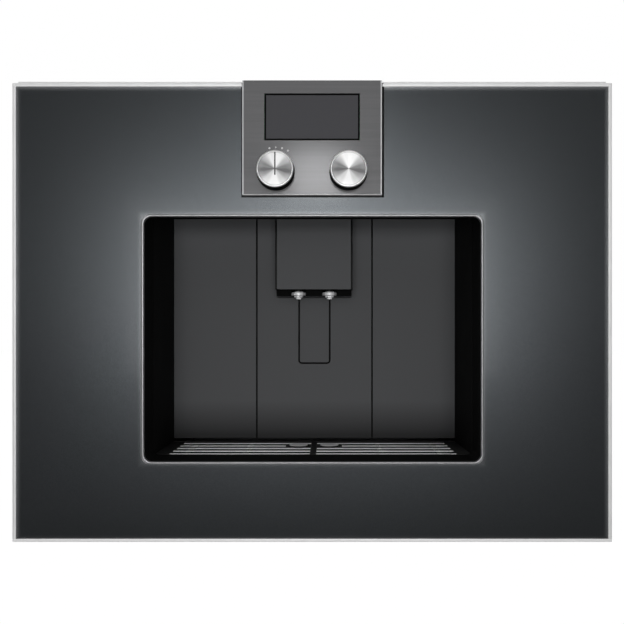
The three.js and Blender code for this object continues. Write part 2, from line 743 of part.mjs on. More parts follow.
// Each hinge is a bracket on the housing, whose arm carries an upright pin, and a block in the door
// round that pin.
function makeHinges() {
  const hinges = new THREE.Group();
  const bracketFront = frontY - fit - bracketThickness;
  const bracketBack = frontY - fit;
  const bracketLeft = -housingWidth / 2 + bracketInset;
  const bracketRight = bracketLeft + bracketWidth;
  const blockX = -doorX + trimFace + fit;
  const blockBack = doorBackY - innerPanelThickness - fit;
  hingeLevels().forEach(([low, high, up], i) => {
    const level = i === 0 ? 'lower' : 'upper';
    // The arm narrows from the flange to the pin.
    const arm = polygon([[pinX - 1.5 * pinRadius, pinY - pinRadius / 2],
      [pinX + 0.7 * pinRadius, pinY - 1.6 * pinRadius],
      [bracketRight - flangeLap, bracketBack], [bracketLeft, bracketBack]]);
    const flangeLow = up > 0 ? low - flangeLap : high + flangeLap - bracketHeight;
    const flange = block(bracketLeft, bracketRight, bracketFront, bracketBack,
      flangeLow, flangeLow + bracketHeight);
    const pinRoot = up > 0 ? high : low;
    const pinEnd = pinRoot + up * pinLength;
    const pin = uprightCylinder(pinRadius, Math.min(pinRoot - up, pinEnd),
      Math.max(pinRoot - up, pinEnd), pinX, pinY, 24);
    hinges.add(piece(`hinge_bracket_${level}`, join(flatPlate(arm, low, high), flange, pin), 'housingSteel'));

    const blockNear = pinRoot + up * fit;
    const blockFar = blockNear + up * hingeBlockHeight;
    const body = block(blockX, blockX + hingeBlockWidth, doorFrontY + glassThickness + fit, blockBack,
      Math.min(blockNear, blockFar), Math.max(blockNear, blockFar));
    const boreEnd = pinEnd + up * fit;
    const bore = uprightCylinder(pinRadius + running, Math.min(blockNear - up, boreEnd),
      Math.max(blockNear - up, boreEnd), pinX, pinY, 24);
    hinges.add(piece(`hinge_block_${level}`, cut(body, bore), 'housingSteel'));
  });
  return hinges;
}

// A magnet on the right-hand apron holds the door shut.
function makeCatch() {
  const width = 14;
  const height = 34;
  const x = insideX - width;          // one width in from the housing's side
  const z = shelfTopZ / 2;
  return piece('door_catch', block(x - width / 2, x + width / 2, doorBackY + fit, frontY - fit,
    z - height / 2, z + height / 2), 'rockerBlack');
}

// ---- control module ----

function makeControls() {
  const halfWidth = moduleWidth / 2;
  const faceBackY = moduleFrontY + moduleWall;
  const moduleBackY = moduleFrontY + moduleDepth;
  const displayTop = moduleTopZ - displayDrop;
  const displayX = displayWidth / 2;
  const encoder = encoderSize / 2;

  const casing = cut(
    block(-halfWidth, halfWidth, moduleFrontY, moduleBackY, moduleBottomZ, moduleTopZ),
    block(-halfWidth + moduleWall, halfWidth - moduleWall, faceBackY, moduleBackY + 1,
      moduleBottomZ + moduleWall, moduleTopZ - moduleWall),
    block(-displayX - fit, displayX + fit, moduleFrontY - 1, faceBackY + 1,
      displayTop - displayHeight - fit, displayTop + fit),
    ...[-1, 1].map((side) => levelCylinder(shaftRadius + shaftPlay, moduleFrontY - 1, faceBackY + 1,
      side * knobSpacing / 2, knobZ, 20)),
  );
  const display = block(-displayX, displayX, moduleFrontY + fit, faceBackY - fit,
    displayTop - displayHeight, displayTop);

  // One board carries the display and both encoders with their shafts.
  const boardX = halfWidth - moduleWall - fit;
  const boardFront = faceBackY + fit;
  const knobFront = moduleFrontY - knobStandoff - knobLength;
  const knobBack = knobFront + knobLength;
  const boreEnd = knobBack - shaftLap;
  const board = join(
    block(-boardX, boardX, boardFront, boardFront + boardThickness, moduleBottomZ + moduleWall + fit,
      moduleTopZ - moduleWall - fit),
    ...[-1, 1].map((side) => block(side * knobSpacing / 2 - encoder, side * knobSpacing / 2 + encoder,
      boardFront + 1, boardFront + boardThickness + encoder, knobZ - encoder, knobZ + encoder)),
    ...[-1, 1].map((side) => levelCylinder(shaftRadius, boreEnd + fit, boardFront + 1,
      side * knobSpacing / 2, knobZ, 20)),
  );

  const knob = (x) => turnedBack([
    [0, knobFront], [knobRadius - knobChamfer, knobFront], [knobRadius, knobFront + knobChamfer],
    [knobRadius, knobBack], [shaftRadius + running, knobBack], [shaftRadius + running, boreEnd], [0, boreEnd],
  ], 48, x, knobZ);
  const pointer = block(-knobSpacing / 2 - pointerWidth / 2, -knobSpacing / 2 + pointerWidth / 2,
    knobFront - 1, knobFront + pointerDepth, knobZ + pointerInner, knobZ + pointerOuter);

  return assembly(
    piece('control_module', casing, 'moduleSteel'),
    piece('display_glass', display, 'displayGlass'),
    piece('control_board', board, 'board'),
    piece('selector_knob', cut(knob(-knobSpacing / 2), pointer), 'knobAluminium'),
    piece('adjust_knob', knob(knobSpacing / 2), 'knobAluminium'),
  );
}

// ---- water tank and bean container in the side bays ----

function makeContainers() {
  const tankFront = frontY + fit;
  const tankBack = tankFront + tankDepth;
  const nearX = bayX + bayClearance;
  const farX = insideX - bayClearance;
  const tankBottom = shelfTopZ + fit;
  const tankTop = windowTop - lidThickness - fit;
  const tank = openBox(-farX, -nearX, tankFront, tankBack, tankBottom, tankTop, tankWall);
  const tankLid = block(-farX, -nearX, tankFront, tankBack, tankTop + fit, tankTop + fit + lidThickness);

  const beanBottom = beanShelfTopZ + fit;
  const beanTop = beanBottom + beanHeight;
  const beanFront = frontY + fasciaThickness + fit;
  const beanBack = beanFront + beanDepth;
  const beans = openBox(nearX, farX, beanFront, beanBack, beanBottom, beanTop, tankWall);
  const beanLid = block(nearX, farX, beanFront, beanBack, beanTop + fit, beanTop + fit + lidThickness);

  return assembly(
    piece('water_tank', tank, 'clearPlastic'),
    piece('tank_lid', tankLid, 'darkPlastic'),
    piece('bean_container', beans, 'clearPlastic'),
    piece('bean_lid', beanLid, 'darkPlastic'),
  );
}

// ---- brewing unit in the right-hand bay ----

function makeBrewer() {
  const x = bayMiddleX;
  const bottom = shelfTopZ + fit;
  const chamberTop = bottom + chamberHeight;
  const chamberFloor = 4;
  const pistonRest = 2;               // piston above the chamber's rim at rest
  const rodEnd = 4;                   // rod left showing when the piston is down
  const armHeight = 10;
  const chamberY = frontY + fasciaThickness + 4 * bayClearance + chamberRadius;
  const plateY = chamberY + chamberRadius + 4 * spindleRadius;
  const spindleY = (chamberY + chamberRadius + plateY) / 2;
  const motorTop = bottom + chamberHeight / 2;

  // A back plate with the open chamber and the spindle's motor on its foot.
  const plateX = brewerWidth / 2;
  const plate = block(x - plateX, x + plateX, plateY, plateY + brewerPlate, bottom, bottom + brewerHeight);
  const foot = block(x - plateX, x + plateX, chamberY - chamberRadius / 2, plateY + 1,
    bottom, bottom + chamberFloor);
  const drum = uprightCylinder(chamberRadius, bottom, chamberTop, x, chamberY);
  const bore = uprightCylinder(chamberBore, bottom + chamberFloor, chamberTop + 1, x, chamberY);
  const motor = block(x - 3 * spindleRadius, x + 3 * spindleRadius, spindleY - spindleRadius, plateY + 1,
    bottom, motorTop);
  const chassis = cut(join(plate, foot, drum, motor), bore);

  // The piston hangs on an arm whose nut runs on the spindle.
  const pistonBottom = chamberTop + pistonRest;
  const pistonTop = pistonBottom + pistonHeight;
  const rodTop = pistonTop + pistonStroke + rodEnd;
  const armTop = rodTop + armHeight;
  const head = uprightCylinder(chamberBore - running, pistonBottom, pistonTop, x, chamberY);
  const rod = uprightCylinder(chamberBore / 2, pistonTop - 1, rodTop + 1, x, chamberY, 24);
  const arm = block(x - 3 * spindleRadius, x + 3 * spindleRadius, chamberY, plateY - fit, rodTop, armTop);
  const nut = uprightCylinder(spindleRadius + running, rodTop - 1, armTop + 1, x, spindleY, 24);
  const spindle = uprightCylinder(spindleRadius, motorTop + fit, armTop + 2 * spindleRadius, x, spindleY, 24);

  const cover = block(bayX + fit, insideX - fit, frontY, frontY + fasciaThickness, shelfTopZ + fit, roofZ);

  return assembly(
    piece('brewer_chassis', chassis, 'darkPlastic'),
    piece('brewer_piston', cut(join(head, rod, arm), nut), 'darkPlastic'),
    piece('brewer_spindle', spindle, 'housingSteel'),
    piece('brewer_cover', cover, 'darkPlastic'),
  );
}

// ---- grinder on the deck behind the bean container ----

function makeGrinder() {
  const x = bayMiddleX;
  const y = deckFront + grinderRadius + bayClearance;
  const bottom = deckTopZ + fit;
  const top = bottom + grinderHeight;
  const inner = grinderRadius - grinderWall;
  const body = turnedUp([[0, bottom], [grinderRadius, bottom], [grinderRadius, top], [inner, top],
    [inner, bottom + grinderWall], [0, bottom + grinderWall]], 32, x, y);
  const burrBottom = bottom + grinderWall + running;
  const shoulder = burrBottom + grinderHeight / 2;
  const burr = turnedUp([[0, burrBottom], [burrRadius, burrBottom],
    [burrRadius, burrBottom + grinderHeight / 3], [burrRadius * 0.7, shoulder],
    [spindleRadius, shoulder], [spindleRadius, top], [0, top]], 32, x, y);
  const motorBottom = top + fit;
  const motorFlangeTop = motorBottom + grinderWall;
  const motorTop = motorBottom + motorHeight;
  const motor = turnedUp([[0, motorBottom], [grinderRadius, motorBottom], [grinderRadius, motorFlangeTop],
    [motorRadius, motorFlangeTop], [motorRadius, motorTop], [0, motorTop]], 32, x, y);
  return assembly(
    piece('grinder_body', body, 'darkPlastic'),
    piece('grinder_burr', burr, 'housingSteel'),
    piece('grinder_motor', motor, 'housingSteel'),
  );
}

// ---- pump, heater, electrics and fan ----

function makeServices() {
  const pumpX = -(bayX + insideX) / 2;
  const pumpFoot = 6;
  const pumpZ = floorZ + pumpRadius + pumpFoot;
  const cradle = block(pumpX - pumpRadius, pumpX + pumpRadius, pumpFoot, pumpLength - pumpFoot, floorZ, pumpZ);
  const coil = levelCylinder(pumpRadius, 0, pumpLength, pumpX, pumpZ);
  const nose = levelCylinder(pumpRadius / 2, pumpLength - 1, pumpLength * 1.7, pumpX, pumpZ);
  const pump = join(cradle, coil, nose);

  const heaterY = backY / 3;
  const stubRadius = 6;
  const stubHeight = 14;
  const heater = join(
    block(-heaterWidth / 2, heaterWidth / 2, heaterY, heaterY + heaterDepth, floorZ, floorZ + heaterHeight),
    ...[-1, 1].map((side) => uprightCylinder(stubRadius, floorZ + heaterHeight - 1,
      floorZ + heaterHeight + stubHeight, side * heaterWidth / 4, heaterY + heaterDepth / 2, 16)),
  );

  // The power board, with a transformer, a relay and two capacitors placed by shares of its size.
  const boardX = -insideX + powerBoardInset;
  const boardY = (backY / 2 - powerBoardDepth) / 2;
  const boardZ = deckTopZ + fit;
  const across = (share) => boardX + share * powerBoardWidth;
  const along = (share) => boardY + share * powerBoardDepth;
  const fitted = (x0, x1, y0, y1, height) => block(across(x0), across(x1), along(y0), along(y1),
    boardZ + boardThickness / 2, boardZ + height);
  const capacitor = (x, y) => uprightCylinder(capacitorRadius, boardZ + boardThickness / 2, boardZ + capacitorHeight,
    across(x), along(y), 20);
  const powerBoard = join(
    block(across(0), across(1), along(0), along(1), boardZ, boardZ + boardThickness),
    fitted(0.08, 0.46, 0.07, 0.39, transformerHeight),
    fitted(0.58, 0.9, 0.13, 0.29, relayHeight),
    capacitor(0.28, 0.63),
    capacitor(0.7, 0.63),
  );

  // Socket for the mains plug: a block let into the back panel, open to the rear.
  const x = inletX();
  const z = inletZ();
  const inlet = cut(
    block(x - inletWidth / 2, x + inletWidth / 2, backY - inletDepth, backY,
      z - inletHeight / 2, z + inletHeight / 2),
    block(x - inletWidth / 4, x + inletWidth / 4, backY - inletDepth + inletFloor, backY + 1,
      z - inletHeight / 4, z + inletHeight / 4),
  );

  return assembly(
    piece('pump', pump, 'castAluminium'),
    piece('heater_block', heater, 'castAluminium'),
    piece('power_board', powerBoard, 'board'),
    piece('mains_inlet', inlet, 'rockerBlack'),
  );
}

function makeFan() {
  const back = insideBackY;
  const front = back - fanDepth;
  const hubSetback = 2;               // turning cup behind the frame's front
  const postSetback = 6;
  const cupFront = front + hubSetback;
  const postFront = front + postSetback;
  const bottom = deckTopZ + fit;
  const z = bottom + fanSize / 2;
  const strutWidth = 5;
  const strutDepth = 4;
  const frame = join(
    cut(block(-fanSize / 2, fanSize / 2, front, back, bottom, bottom + fanSize),
      levelCylinder(fanBore, front - 1, back + 1, 0, z, 40)),
    block(-fanBore - 1, fanBore + 1, back - strutDepth, back, z - strutWidth / 2, z + strutWidth / 2),
    block(-strutWidth / 2, strutWidth / 2, back - strutDepth, back, z - fanBore - 1, z + fanBore + 1),
    levelCylinder(fanHub, back - strutDepth, back, 0, z, 24),
    levelCylinder(fanPost, postFront, back - 1, 0, z, 24),
  );

  // Seven blades on a cup that turns on the frame's post.
  const rotorBack = back - strutDepth - running;
  const cup = turnedBack([[0, cupFront], [fanHub, cupFront], [fanHub, rotorBack], [fanPost + running, rotorBack],
    [fanPost + running, postFront - running], [0, postFront - running]], 32, 0, z);
  const bladeTilt = 0.6;
  const bladeThickness = 1.5;
  const bladeReach = fanBore - 2;
  const bladeDepth = (rotorBack - cupFront) * 0.8;
  const blades = [];
  for (let i = 0; i < bladeCount; i += 1) {
    const blade = new THREE.BoxGeometry(bladeReach - fanHub + 1, bladeDepth, bladeThickness);
    blade.translate((bladeReach + fanHub - 1) / 2, 0, 0);
    blade.rotateX(bladeTilt);
    blade.rotateY((i * 2 * Math.PI) / bladeCount);
    blade.translate(0, (cupFront + rotorBack) / 2, z);
    blades.push(blade);
  }
  return assembly(
    piece('fan_frame', frame, 'rockerBlack'),
    piece('fan_rotor', join(cup, ...blades), 'rockerBlack'),
  );
}

// ---- whole machine ----

const machine = new THREE.Group();
machine.name = 'coffee_machine';
machine.add(
  makeHousing(),
  makeFascia(),
  makeRocker(),
  makeRecess(),
  makeTray(),
  makeGrille(),
  makeOutlet(),
  makeDoor(),
  makeHinges(),
  makeCatch(),
  makeControls(),
  makeContainers(),
  makeBrewer(),
  makeGrinder(),
  makeServices(),
  makeFan(),
);

export default machine;
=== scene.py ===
import bmesh
import bpy
import numpy as np
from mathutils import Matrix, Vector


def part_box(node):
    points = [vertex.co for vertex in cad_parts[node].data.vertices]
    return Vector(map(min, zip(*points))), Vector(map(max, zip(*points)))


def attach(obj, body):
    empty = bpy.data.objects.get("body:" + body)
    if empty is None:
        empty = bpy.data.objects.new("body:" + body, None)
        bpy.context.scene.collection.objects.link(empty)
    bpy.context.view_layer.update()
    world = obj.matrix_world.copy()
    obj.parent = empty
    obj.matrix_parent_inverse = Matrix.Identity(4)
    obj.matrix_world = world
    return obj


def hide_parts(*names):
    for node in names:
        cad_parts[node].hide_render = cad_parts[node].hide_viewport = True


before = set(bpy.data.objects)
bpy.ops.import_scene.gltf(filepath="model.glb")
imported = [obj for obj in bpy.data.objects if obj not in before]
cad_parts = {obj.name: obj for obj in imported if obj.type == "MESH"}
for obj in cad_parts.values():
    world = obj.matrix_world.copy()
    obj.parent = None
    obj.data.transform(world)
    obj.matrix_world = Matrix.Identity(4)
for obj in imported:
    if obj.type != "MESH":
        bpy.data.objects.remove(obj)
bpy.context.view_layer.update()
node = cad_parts


# ---- Studio ----
# A white seamless floor and backdrop behind the machine, a plain soft sky, and in front of
# it a dim studio with two soft lamps and three that only fill. The camera is square to the door.

class Signal:
    """A socket of a material on which the plain operators add Math nodes."""

    def __init__(self, wiring, socket):
        self.wiring = wiring
        self.socket = socket

    def math(self, operation, *others):
        return self.wiring.node("ShaderNodeMath", {"operation": operation},
                                dict(enumerate((self, *others))))

    def swapped(self, operation, other):
        return self.wiring.node("ShaderNodeMath", {"operation": operation}, {0: other, 1: self})

    def __add__(self, other):
        return self.math("ADD", other)

    __radd__ = __add__

    def __sub__(self, other):
        return self.math("SUBTRACT", other)

    def __rsub__(self, other):
        return self.swapped("SUBTRACT", other)

    def __mul__(self, other):
        return self.math("MULTIPLY", other)

    __rmul__ = __mul__

    def __truediv__(self, other):
        return self.math("DIVIDE", other)

    def __pow__(self, other):
        return self.math("POWER", other)

    def __abs__(self):
        return self.math("ABSOLUTE")

    def held(self):
        """The value, held between zero and one."""
        return self.math("MAXIMUM", 0.0).math("MINIMUM", 1.0)

    def __lt__(self, other):
        return self.math("LESS_THAN", other)

    def __gt__(self, other):
        return self.math("GREATER_THAN", other)


class Wiring:
    """The nodes of one material, or of the sky."""

    def __init__(self, owner):
        owner.use_nodes = True
        self.owner = owner
        self.tree = owner.node_tree
        self.tree.nodes.clear()

    def node(self, kind, settings=None, inputs=None, output=0):
        """Adds a node: its settings first, then a value or a link for each named socket."""
        made = self.tree.nodes.new(kind)
        for name, value in (settings or {}).items():
            if name == "stops":
                ramp = made.color_ramp.elements
                while len(ramp) < len(value):
                    ramp.new(1.0)
                for stop, (place, grey) in zip(ramp, value):
                    stop.position, stop.color = place, (grey, grey, grey, 1)
            else:
                setattr(made, name, value)
        for name, value in (inputs or {}).items():
            if isinstance(value, Signal):
                self.tree.links.new(value.socket, made.inputs[name])
            else:
                made.inputs[name].default_value = value
        return Signal(self, made.outputs[output])

    def out(self, kind, shader):
        self.tree.links.new(shader.socket, self.tree.nodes.new(kind).inputs["Surface"])

    def background_rays(self, behind):
        """One for the rays that show the white background: the camera's own rays, and behind the
        machine also those that metal reflects and glass lets through."""
        ray = {kind: self.node("ShaderNodeLightPath", {}, {}, "Is " + kind + " Ray")
               for kind in ("Camera", "Glossy", "Transmission")}
        return ray["Camera"].math("MAXIMUM", (ray["Glossy"] + ray["Transmission"]) * behind)


bpy.context.scene.view_settings.view_transform = "Standard"
sky = Wiring(bpy.data.worlds.new("studio_sky"))
bpy.context.scene.world = sky.owner
way = sky.node("ShaderNodeTexCoord", {}, {}, "Generated")
rise = sky.node("ShaderNodeSeparateXYZ", {}, {0: way}, "Z")
depth = sky.node("ShaderNodeSeparateXYZ", {}, {0: way}, "Y")
upward = rise * 0.5 + 0.5
even = sky.node("ShaderNodeValToRGB", {"stops": [(0.0, 0.3), (0.5, 0.45), (1.0, 0.6)]}, {0: upward})
dim = sky.node("ShaderNodeValToRGB", {"stops": [(0.0, 0.1), (0.5, 0.2), (1.0, 0.4)]}, {0: upward})
diffuse = sky.node("ShaderNodeLightPath", {}, {}, "Is Diffuse Ray")
glow = sky.node("ShaderNodeMix", {"data_type": "RGBA"}, {0: diffuse, 6: dim, 7: even}, 2)
sky.out("ShaderNodeOutputWorld", sky.node("ShaderNodeMixShader", {}, {
    0: sky.background_rays(depth > 0.0),
    1: sky.node("ShaderNodeBackground", {}, {"Color": glow}),
    2: sky.node("ShaderNodeBackground", {}, {"Color": (1, 1, 1, 1)})}))

# The first two lamps are only seen in reflections. The other three only light what they reach.
stand = -4.29
for name, width, height, watts, place, pitch, reflected in (
        ("wide_lamp", 2.16, 1.25, 38, (-0.065, stand, 0.39), 90, True),
        ("small_lamp", 0.34, 0.31, 5.3, (-0.04, stand, 1.15), 90, True),
        ("fill_lamp", 1.4, 0.4, 50, (0.0, stand, 0.22), 90, False),
        ("low_fill_lamp", 0.6, 0.08, 9, (0.0, -1.65, 0.045), 90, False),
        ("high_fill_lamp", 0.7, 0.5, 24, (-0.3, -1.1, 2.3), 22, False)):
    lamp_data = bpy.data.lights.new(name, "AREA")
    lamp_data.shape = "RECTANGLE"
    lamp_data.size, lamp_data.size_y, lamp_data.energy = width, height, watts
    lamp = bpy.data.objects.new(name, lamp_data)
    lamp.location = place
    lamp.rotation_euler = (np.radians(pitch), 0, 0)
    lamp.visible_glossy, lamp.visible_diffuse = reflected, not reflected
    bpy.context.scene.collection.objects.link(lamp)

camera_data = bpy.data.cameras.new("camera")
camera_data.lens = 47.49
camera_data.shift_x, camera_data.shift_y = -0.0224, 0.0449
camera = bpy.data.objects.new("camera", camera_data)
camera.location = (0.0136, -1.101, 0.2006)
camera.rotation_euler = (np.pi / 2, 0, 0)
bpy.context.scene.collection.objects.link(camera)
bpy.context.scene.camera = camera


def quads(points, around=False, along=False, ends=False):
    """Faces over a grid of points, whose rows run along a shape and whose columns run around it.
    A wrapped direction joins its last line to its first, and ends closes the first and last rows."""
    rows, columns = points.shape[:2]
    index = np.arange(rows * columns).reshape(rows, columns)
    if around:
        index = np.hstack([index, index[:, :1]])
    if along:
        index = np.vstack([index, index[:1]])
    faces = np.stack([index[:-1, :-1], index[1:, :-1], index[1:, 1:], index[:-1, 1:]], -1)
    faces = faces.reshape(-1, 4).tolist()
    if ends:
        lid = np.arange(columns)
        faces += [lid.tolist(), (lid + (rows - 1) * columns)[::-1].tolist()]
    return points.reshape(-1, 3), faces


def solid(name, *surfaces, sharp=35):
    """One object from several closed surfaces, with its faces turned outwards and its edges
    left sharp where the faces meet at more than the given angle."""
    corners, faces, start = [], [], 0
    for points, mesh_faces in surfaces:
        corners.append(points)
        faces += [[start + corner for corner in face] for face in mesh_faces]
        start += len(points)
    mesh = bpy.data.meshes.new(name)
    mesh.from_pydata(np.vstack(corners), [], faces)
    work = bmesh.new()
    work.from_mesh(mesh)
    bmesh.ops.remove_doubles(work, verts=work.verts, dist=1e-7)
    bmesh.ops.recalc_face_normals(work, faces=work.faces)
    work.to_mesh(mesh)
    work.free()
    mesh.polygons.foreach_set("use_smooth", np.ones(len(mesh.polygons), bool))
    mesh.set_sharp_from_angle(angle=np.radians(sharp))
    made = bpy.data.objects.new(name, mesh)
    bpy.context.scene.collection.objects.link(made)
    return made


# The floor: a ring round a pinhole, just below the machine.
floor_radius, pinhole, floor_z, steps = 12, 0.001, -0.0006, 64
angle = np.linspace(0, 2 * np.pi, steps, endpoint=False)
reach = np.array([pinhole, floor_radius])[:, None]
floor_points = np.stack([reach * np.cos(angle), reach * np.sin(angle), np.full((2, steps), floor_z)], -1)
floor = solid("floor", quads(floor_points, around=True))
floor.data.flip_normals()
floor_finish = Wiring(bpy.data.materials.new("pale_floor"))
floor_place = floor_finish.node("ShaderNodeTexCoord", {}, {}, "Object")
floor_y = floor_finish.node("ShaderNodeSeparateXYZ", {}, {0: floor_place}, "Y")
door_plane = -0.29
floor_finish.out("ShaderNodeOutputMaterial", floor_finish.node("ShaderNodeMixShader", {}, {
    0: floor_finish.background_rays(floor_y > door_plane) * 0.98,
    1: floor_finish.node("ShaderNodeBsdfDiffuse", {}, {"Color": (0.21, 0.21, 0.21, 1)}),
    2: floor_finish.node("ShaderNodeEmission", {}, {"Color": (1, 1, 1, 1), "Strength": 1.02})}))
floor.data.materials.append(floor_finish.owner)


# ---- Housing ----
# A box of zinc-coated sheet steel, folded and riveted: base pan, sides, cover and back.
# The zinc shows faint crystals, and the sheets are fixed with small pan-head screws.

class Finish(Wiring):
    """A procedural finish that ends in one Principled shader."""

    def __init__(self, name):
        super().__init__(bpy.data.materials.new(name))
        self.where = self.node("ShaderNodeTexCoord", {}, {}, "Object")

    def axis(self, letter):
        return self.node("ShaderNodeSeparateXYZ", {}, {0: self.where}, letter)

    def stretched(self, scale):
        return self.node("ShaderNodeMapping", {}, {"Vector": self.where, "Scale": scale})

    def noise(self, scale, detail=2.0, stretch=None):
        where = self.stretched(stretch) if stretch else self.where
        return self.node("ShaderNodeTexNoise", {}, {"Vector": where, "Scale": scale, "Detail": detail})

    def between(self, amount, low, high):
        """A colour between two, by amount."""
        return self.node("ShaderNodeMix", {"data_type": "RGBA"}, {0: amount, 6: low, 7: high}, 2)

    def relief(self, height, depth, base=None):
        """Bumps of the given depth in metres, on softened edges where base is given."""
        sockets = {"Height": height, "Distance": depth, "Strength": 1.0}
        if base:
            sockets["Normal"] = base
        return self.node("ShaderNodeBump", {}, sockets)

    def soft_edge(self, radius):
        return self.node("ShaderNodeBevel", {"samples": 4}, {"Radius": radius})

    def shade(self, **sockets):
        names = {name.replace("_", " "): value for name, value in sockets.items()}
        self.out("ShaderNodeOutputMaterial", self.node("ShaderNodeBsdfPrincipled", {}, names))
        return self


def wear(finish, *names):
    """Puts a finish on CAD nodes."""
    for name in names:
        node[name].data.materials.clear()
        node[name].data.materials.append(finish.owner)


zinc = Finish("zinc_coated_steel")
crystal = zinc.node("ShaderNodeTexVoronoi", {}, {"Vector": zinc.where, "Scale": 90.0}, "Color")
crystal = zinc.node("ShaderNodeSeparateXYZ", {}, {0: crystal}, "X")
cloudy = crystal * 0.5 + zinc.noise(6.0) * 0.5
zinc.shade(Base_Color=zinc.between(cloudy, (0.43, 0.44, 0.45, 1), (0.62, 0.63, 0.64, 1)), Metallic=1.0,
           Roughness=0.34 + crystal * 0.16, Normal=zinc.relief(zinc.noise(14.0), 0.0012))
wear(zinc, "base_pan", "side_panel_left", "side_panel_right", "top_cover", "back_panel", "rear_deck",
     "hinge_bracket_lower", "hinge_bracket_upper", "hinge_block_lower", "hinge_block_upper")


def turned(profile, centre, axis="z", steps=32):
    """A turned surface: each (radius, height) of the profile goes once round the axis through centre,
    its radius times the cosine and sine of the angle along the two other axes."""
    angle = np.linspace(0, 2 * np.pi, steps, endpoint=False)
    radius, height = np.array(profile, float).T[:, :, None]
    ring = [radius * np.cos(angle), radius * np.sin(angle)]
    level = height + 0 * angle
    order = {"x": (level, *ring), "y": (ring[0], level, ring[1]), "z": (*ring, level)}
    return quads(np.stack(order[axis], -1) + np.array(centre), around=True)


def rounded(width, depth, radius, steps=4):
    """A closed rectangle outline centred on zero, with a quarter circle at each corner."""
    turn = np.linspace(0, np.pi / 2, steps + 1)
    corners = [(1, 1, 0), (-1, 1, 1), (-1, -1, 2), (1, -1, 3)]
    parts = [np.stack([sx * (width / 2 - radius) + radius * np.cos(turn + quarter * np.pi / 2),
                       sy * (depth / 2 - radius) + radius * np.sin(turn + quarter * np.pi / 2)], -1)
             for sx, sy, quarter in corners]
    return np.vstack(parts)


def bar(outline, stations, place, axis="y", squeeze=1.0):
    """A straight bar: the outline, which lies across the axis, is carried to each station along it
    and multiplied there by squeeze."""
    across = np.reshape(squeeze, (-1, 1, 1)) * outline
    first, second = across[..., 0], across[..., 1]
    level = np.array(stations, float)[:, None] + 0 * first
    first, second = first + 0 * level, second + 0 * level
    order = {"x": (level, first, second), "y": (first, level, second), "z": (first, second, level)}
    return quads(np.stack(order[axis], -1) + np.array(place), around=True, ends=True)


# Screws: pan heads on the back, the sides and the cover, flat heads on the hinge brackets. A head
# starts a little below the sheet and has a round socket.
head_radius, pan_height, flat_height, socket_radius, sunk = 0.0032, 0.0019, 0.0004, 0.0013, 0.0002
socket_floor, head_steps = socket_radius * 0.9, 20
pan_head = [(0, -sunk), (head_radius, -sunk), (head_radius, 0.0006), (head_radius * 0.8, pan_height * 0.85),
            (head_radius * 0.5, pan_height), (socket_radius, pan_height), (socket_floor, pan_height * 0.4),
            (0, pan_height * 0.4)]
flat_head = [(0, -sunk), (head_radius, -sunk), (head_radius, 0.0), (0.0028, flat_height),
             (socket_radius, flat_height), (socket_floor, 0.0001), (0, 0.0001)]
back_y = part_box("back_panel")[1].y
side_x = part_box("side_panel_right")[1].x
cover_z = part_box("top_cover")[1].z
bracket_x, bracket_y = -0.2635, -0.2456
back_places = [(x, z) for x in (-0.262, 0.262) for z in (0.03, 0.16, 0.29, 0.42)]
back_places += [(x, z) for x in (-0.12, 0.12) for z in (0.02, 0.43)]
screws = [turned(pan_head, (x, back_y, z), "y", head_steps) for x, z in back_places]
for side in (-1, 1):
    side_head = [(radius, side * height) for radius, height in pan_head]
    screws += [turned(side_head, (side * side_x, y, z), "x", head_steps)
               for y in (-0.21, 0.0, 0.21) for z in (0.018, 0.431)]
screws += [turned(pan_head, (x, y, cover_z), "z", head_steps) for x in (-0.25, 0.25) for y in (-0.2, 0.2)]
front_head = [(radius, -height) for radius, height in flat_head]
screws += [turned(front_head, (bracket_x, bracket_y, z), "y", head_steps)
           for z in (0.034, 0.047, 0.4085, 0.4215)]
housing_screws = solid("housing_screws", *screws)
plated = Finish("plated_screw")
plated.shade(Base_Color=plated.between(plated.noise(400.0), (0.45, 0.45, 0.46, 1), (0.62, 0.62, 0.63, 1)),
             Metallic=1.0, Roughness=0.3 + plated.noise(900.0) * 0.2)
housing_screws.data.materials.append(plated.owner)
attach(housing_screws, "housing")

# Three flat pins in the mains inlet, the middle one higher. Each narrows at its tip.
inlet_lo, inlet_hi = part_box("mains_inlet")
inlet_x, inlet_z = (inlet_lo.x + inlet_hi.x) / 2, (inlet_lo.z + inlet_hi.z) / 2
pin_outline = rounded(0.0022, 0.0045, 0.0005)
pin_stations = [inlet_lo.y + 0.005, inlet_hi.y - 0.0035, inlet_hi.y - 0.0025]
inlet_pins = solid("inlet_pins", *[
    bar(pin_outline, pin_stations, (inlet_x + x, 0, inlet_z + z), squeeze=[1, 1, 0.6])
    for x, z in ((-0.0065, -0.0015), (0.0, 0.0025), (0.0065, -0.0015))])
inlet_pins.data.materials.append(plated.owner)
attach(inlet_pins, "housing")


# ---- Fascia, shelves and trays ----
# Injection-moulded black plastic with a fine spark-eroded grain, seen when the door is open:
# upper fascia, shelf and apron of each bay, drip tray and grounds container.

def moulded(name, colour, roughness=0.5, grain=0.00006, shine=0.5):
    """Moulded plastic: fine grain, and slow changes of gloss."""
    plastic = Finish(name)
    slow = plastic.noise(16.0)
    lighter = tuple(min(1.0, channel * 1.35 + 0.002) for channel in colour[:3]) + (1,)
    eroded = plastic.relief(plastic.noise(2600.0, 1.0), grain, plastic.soft_edge(0.0006))
    plastic.shade(Base_Color=plastic.between(slow, colour, lighter), Normal=eroded,
                  Roughness=roughness + slow * 0.14 - 0.07, Specular_IOR_Level=shine)
    return plastic


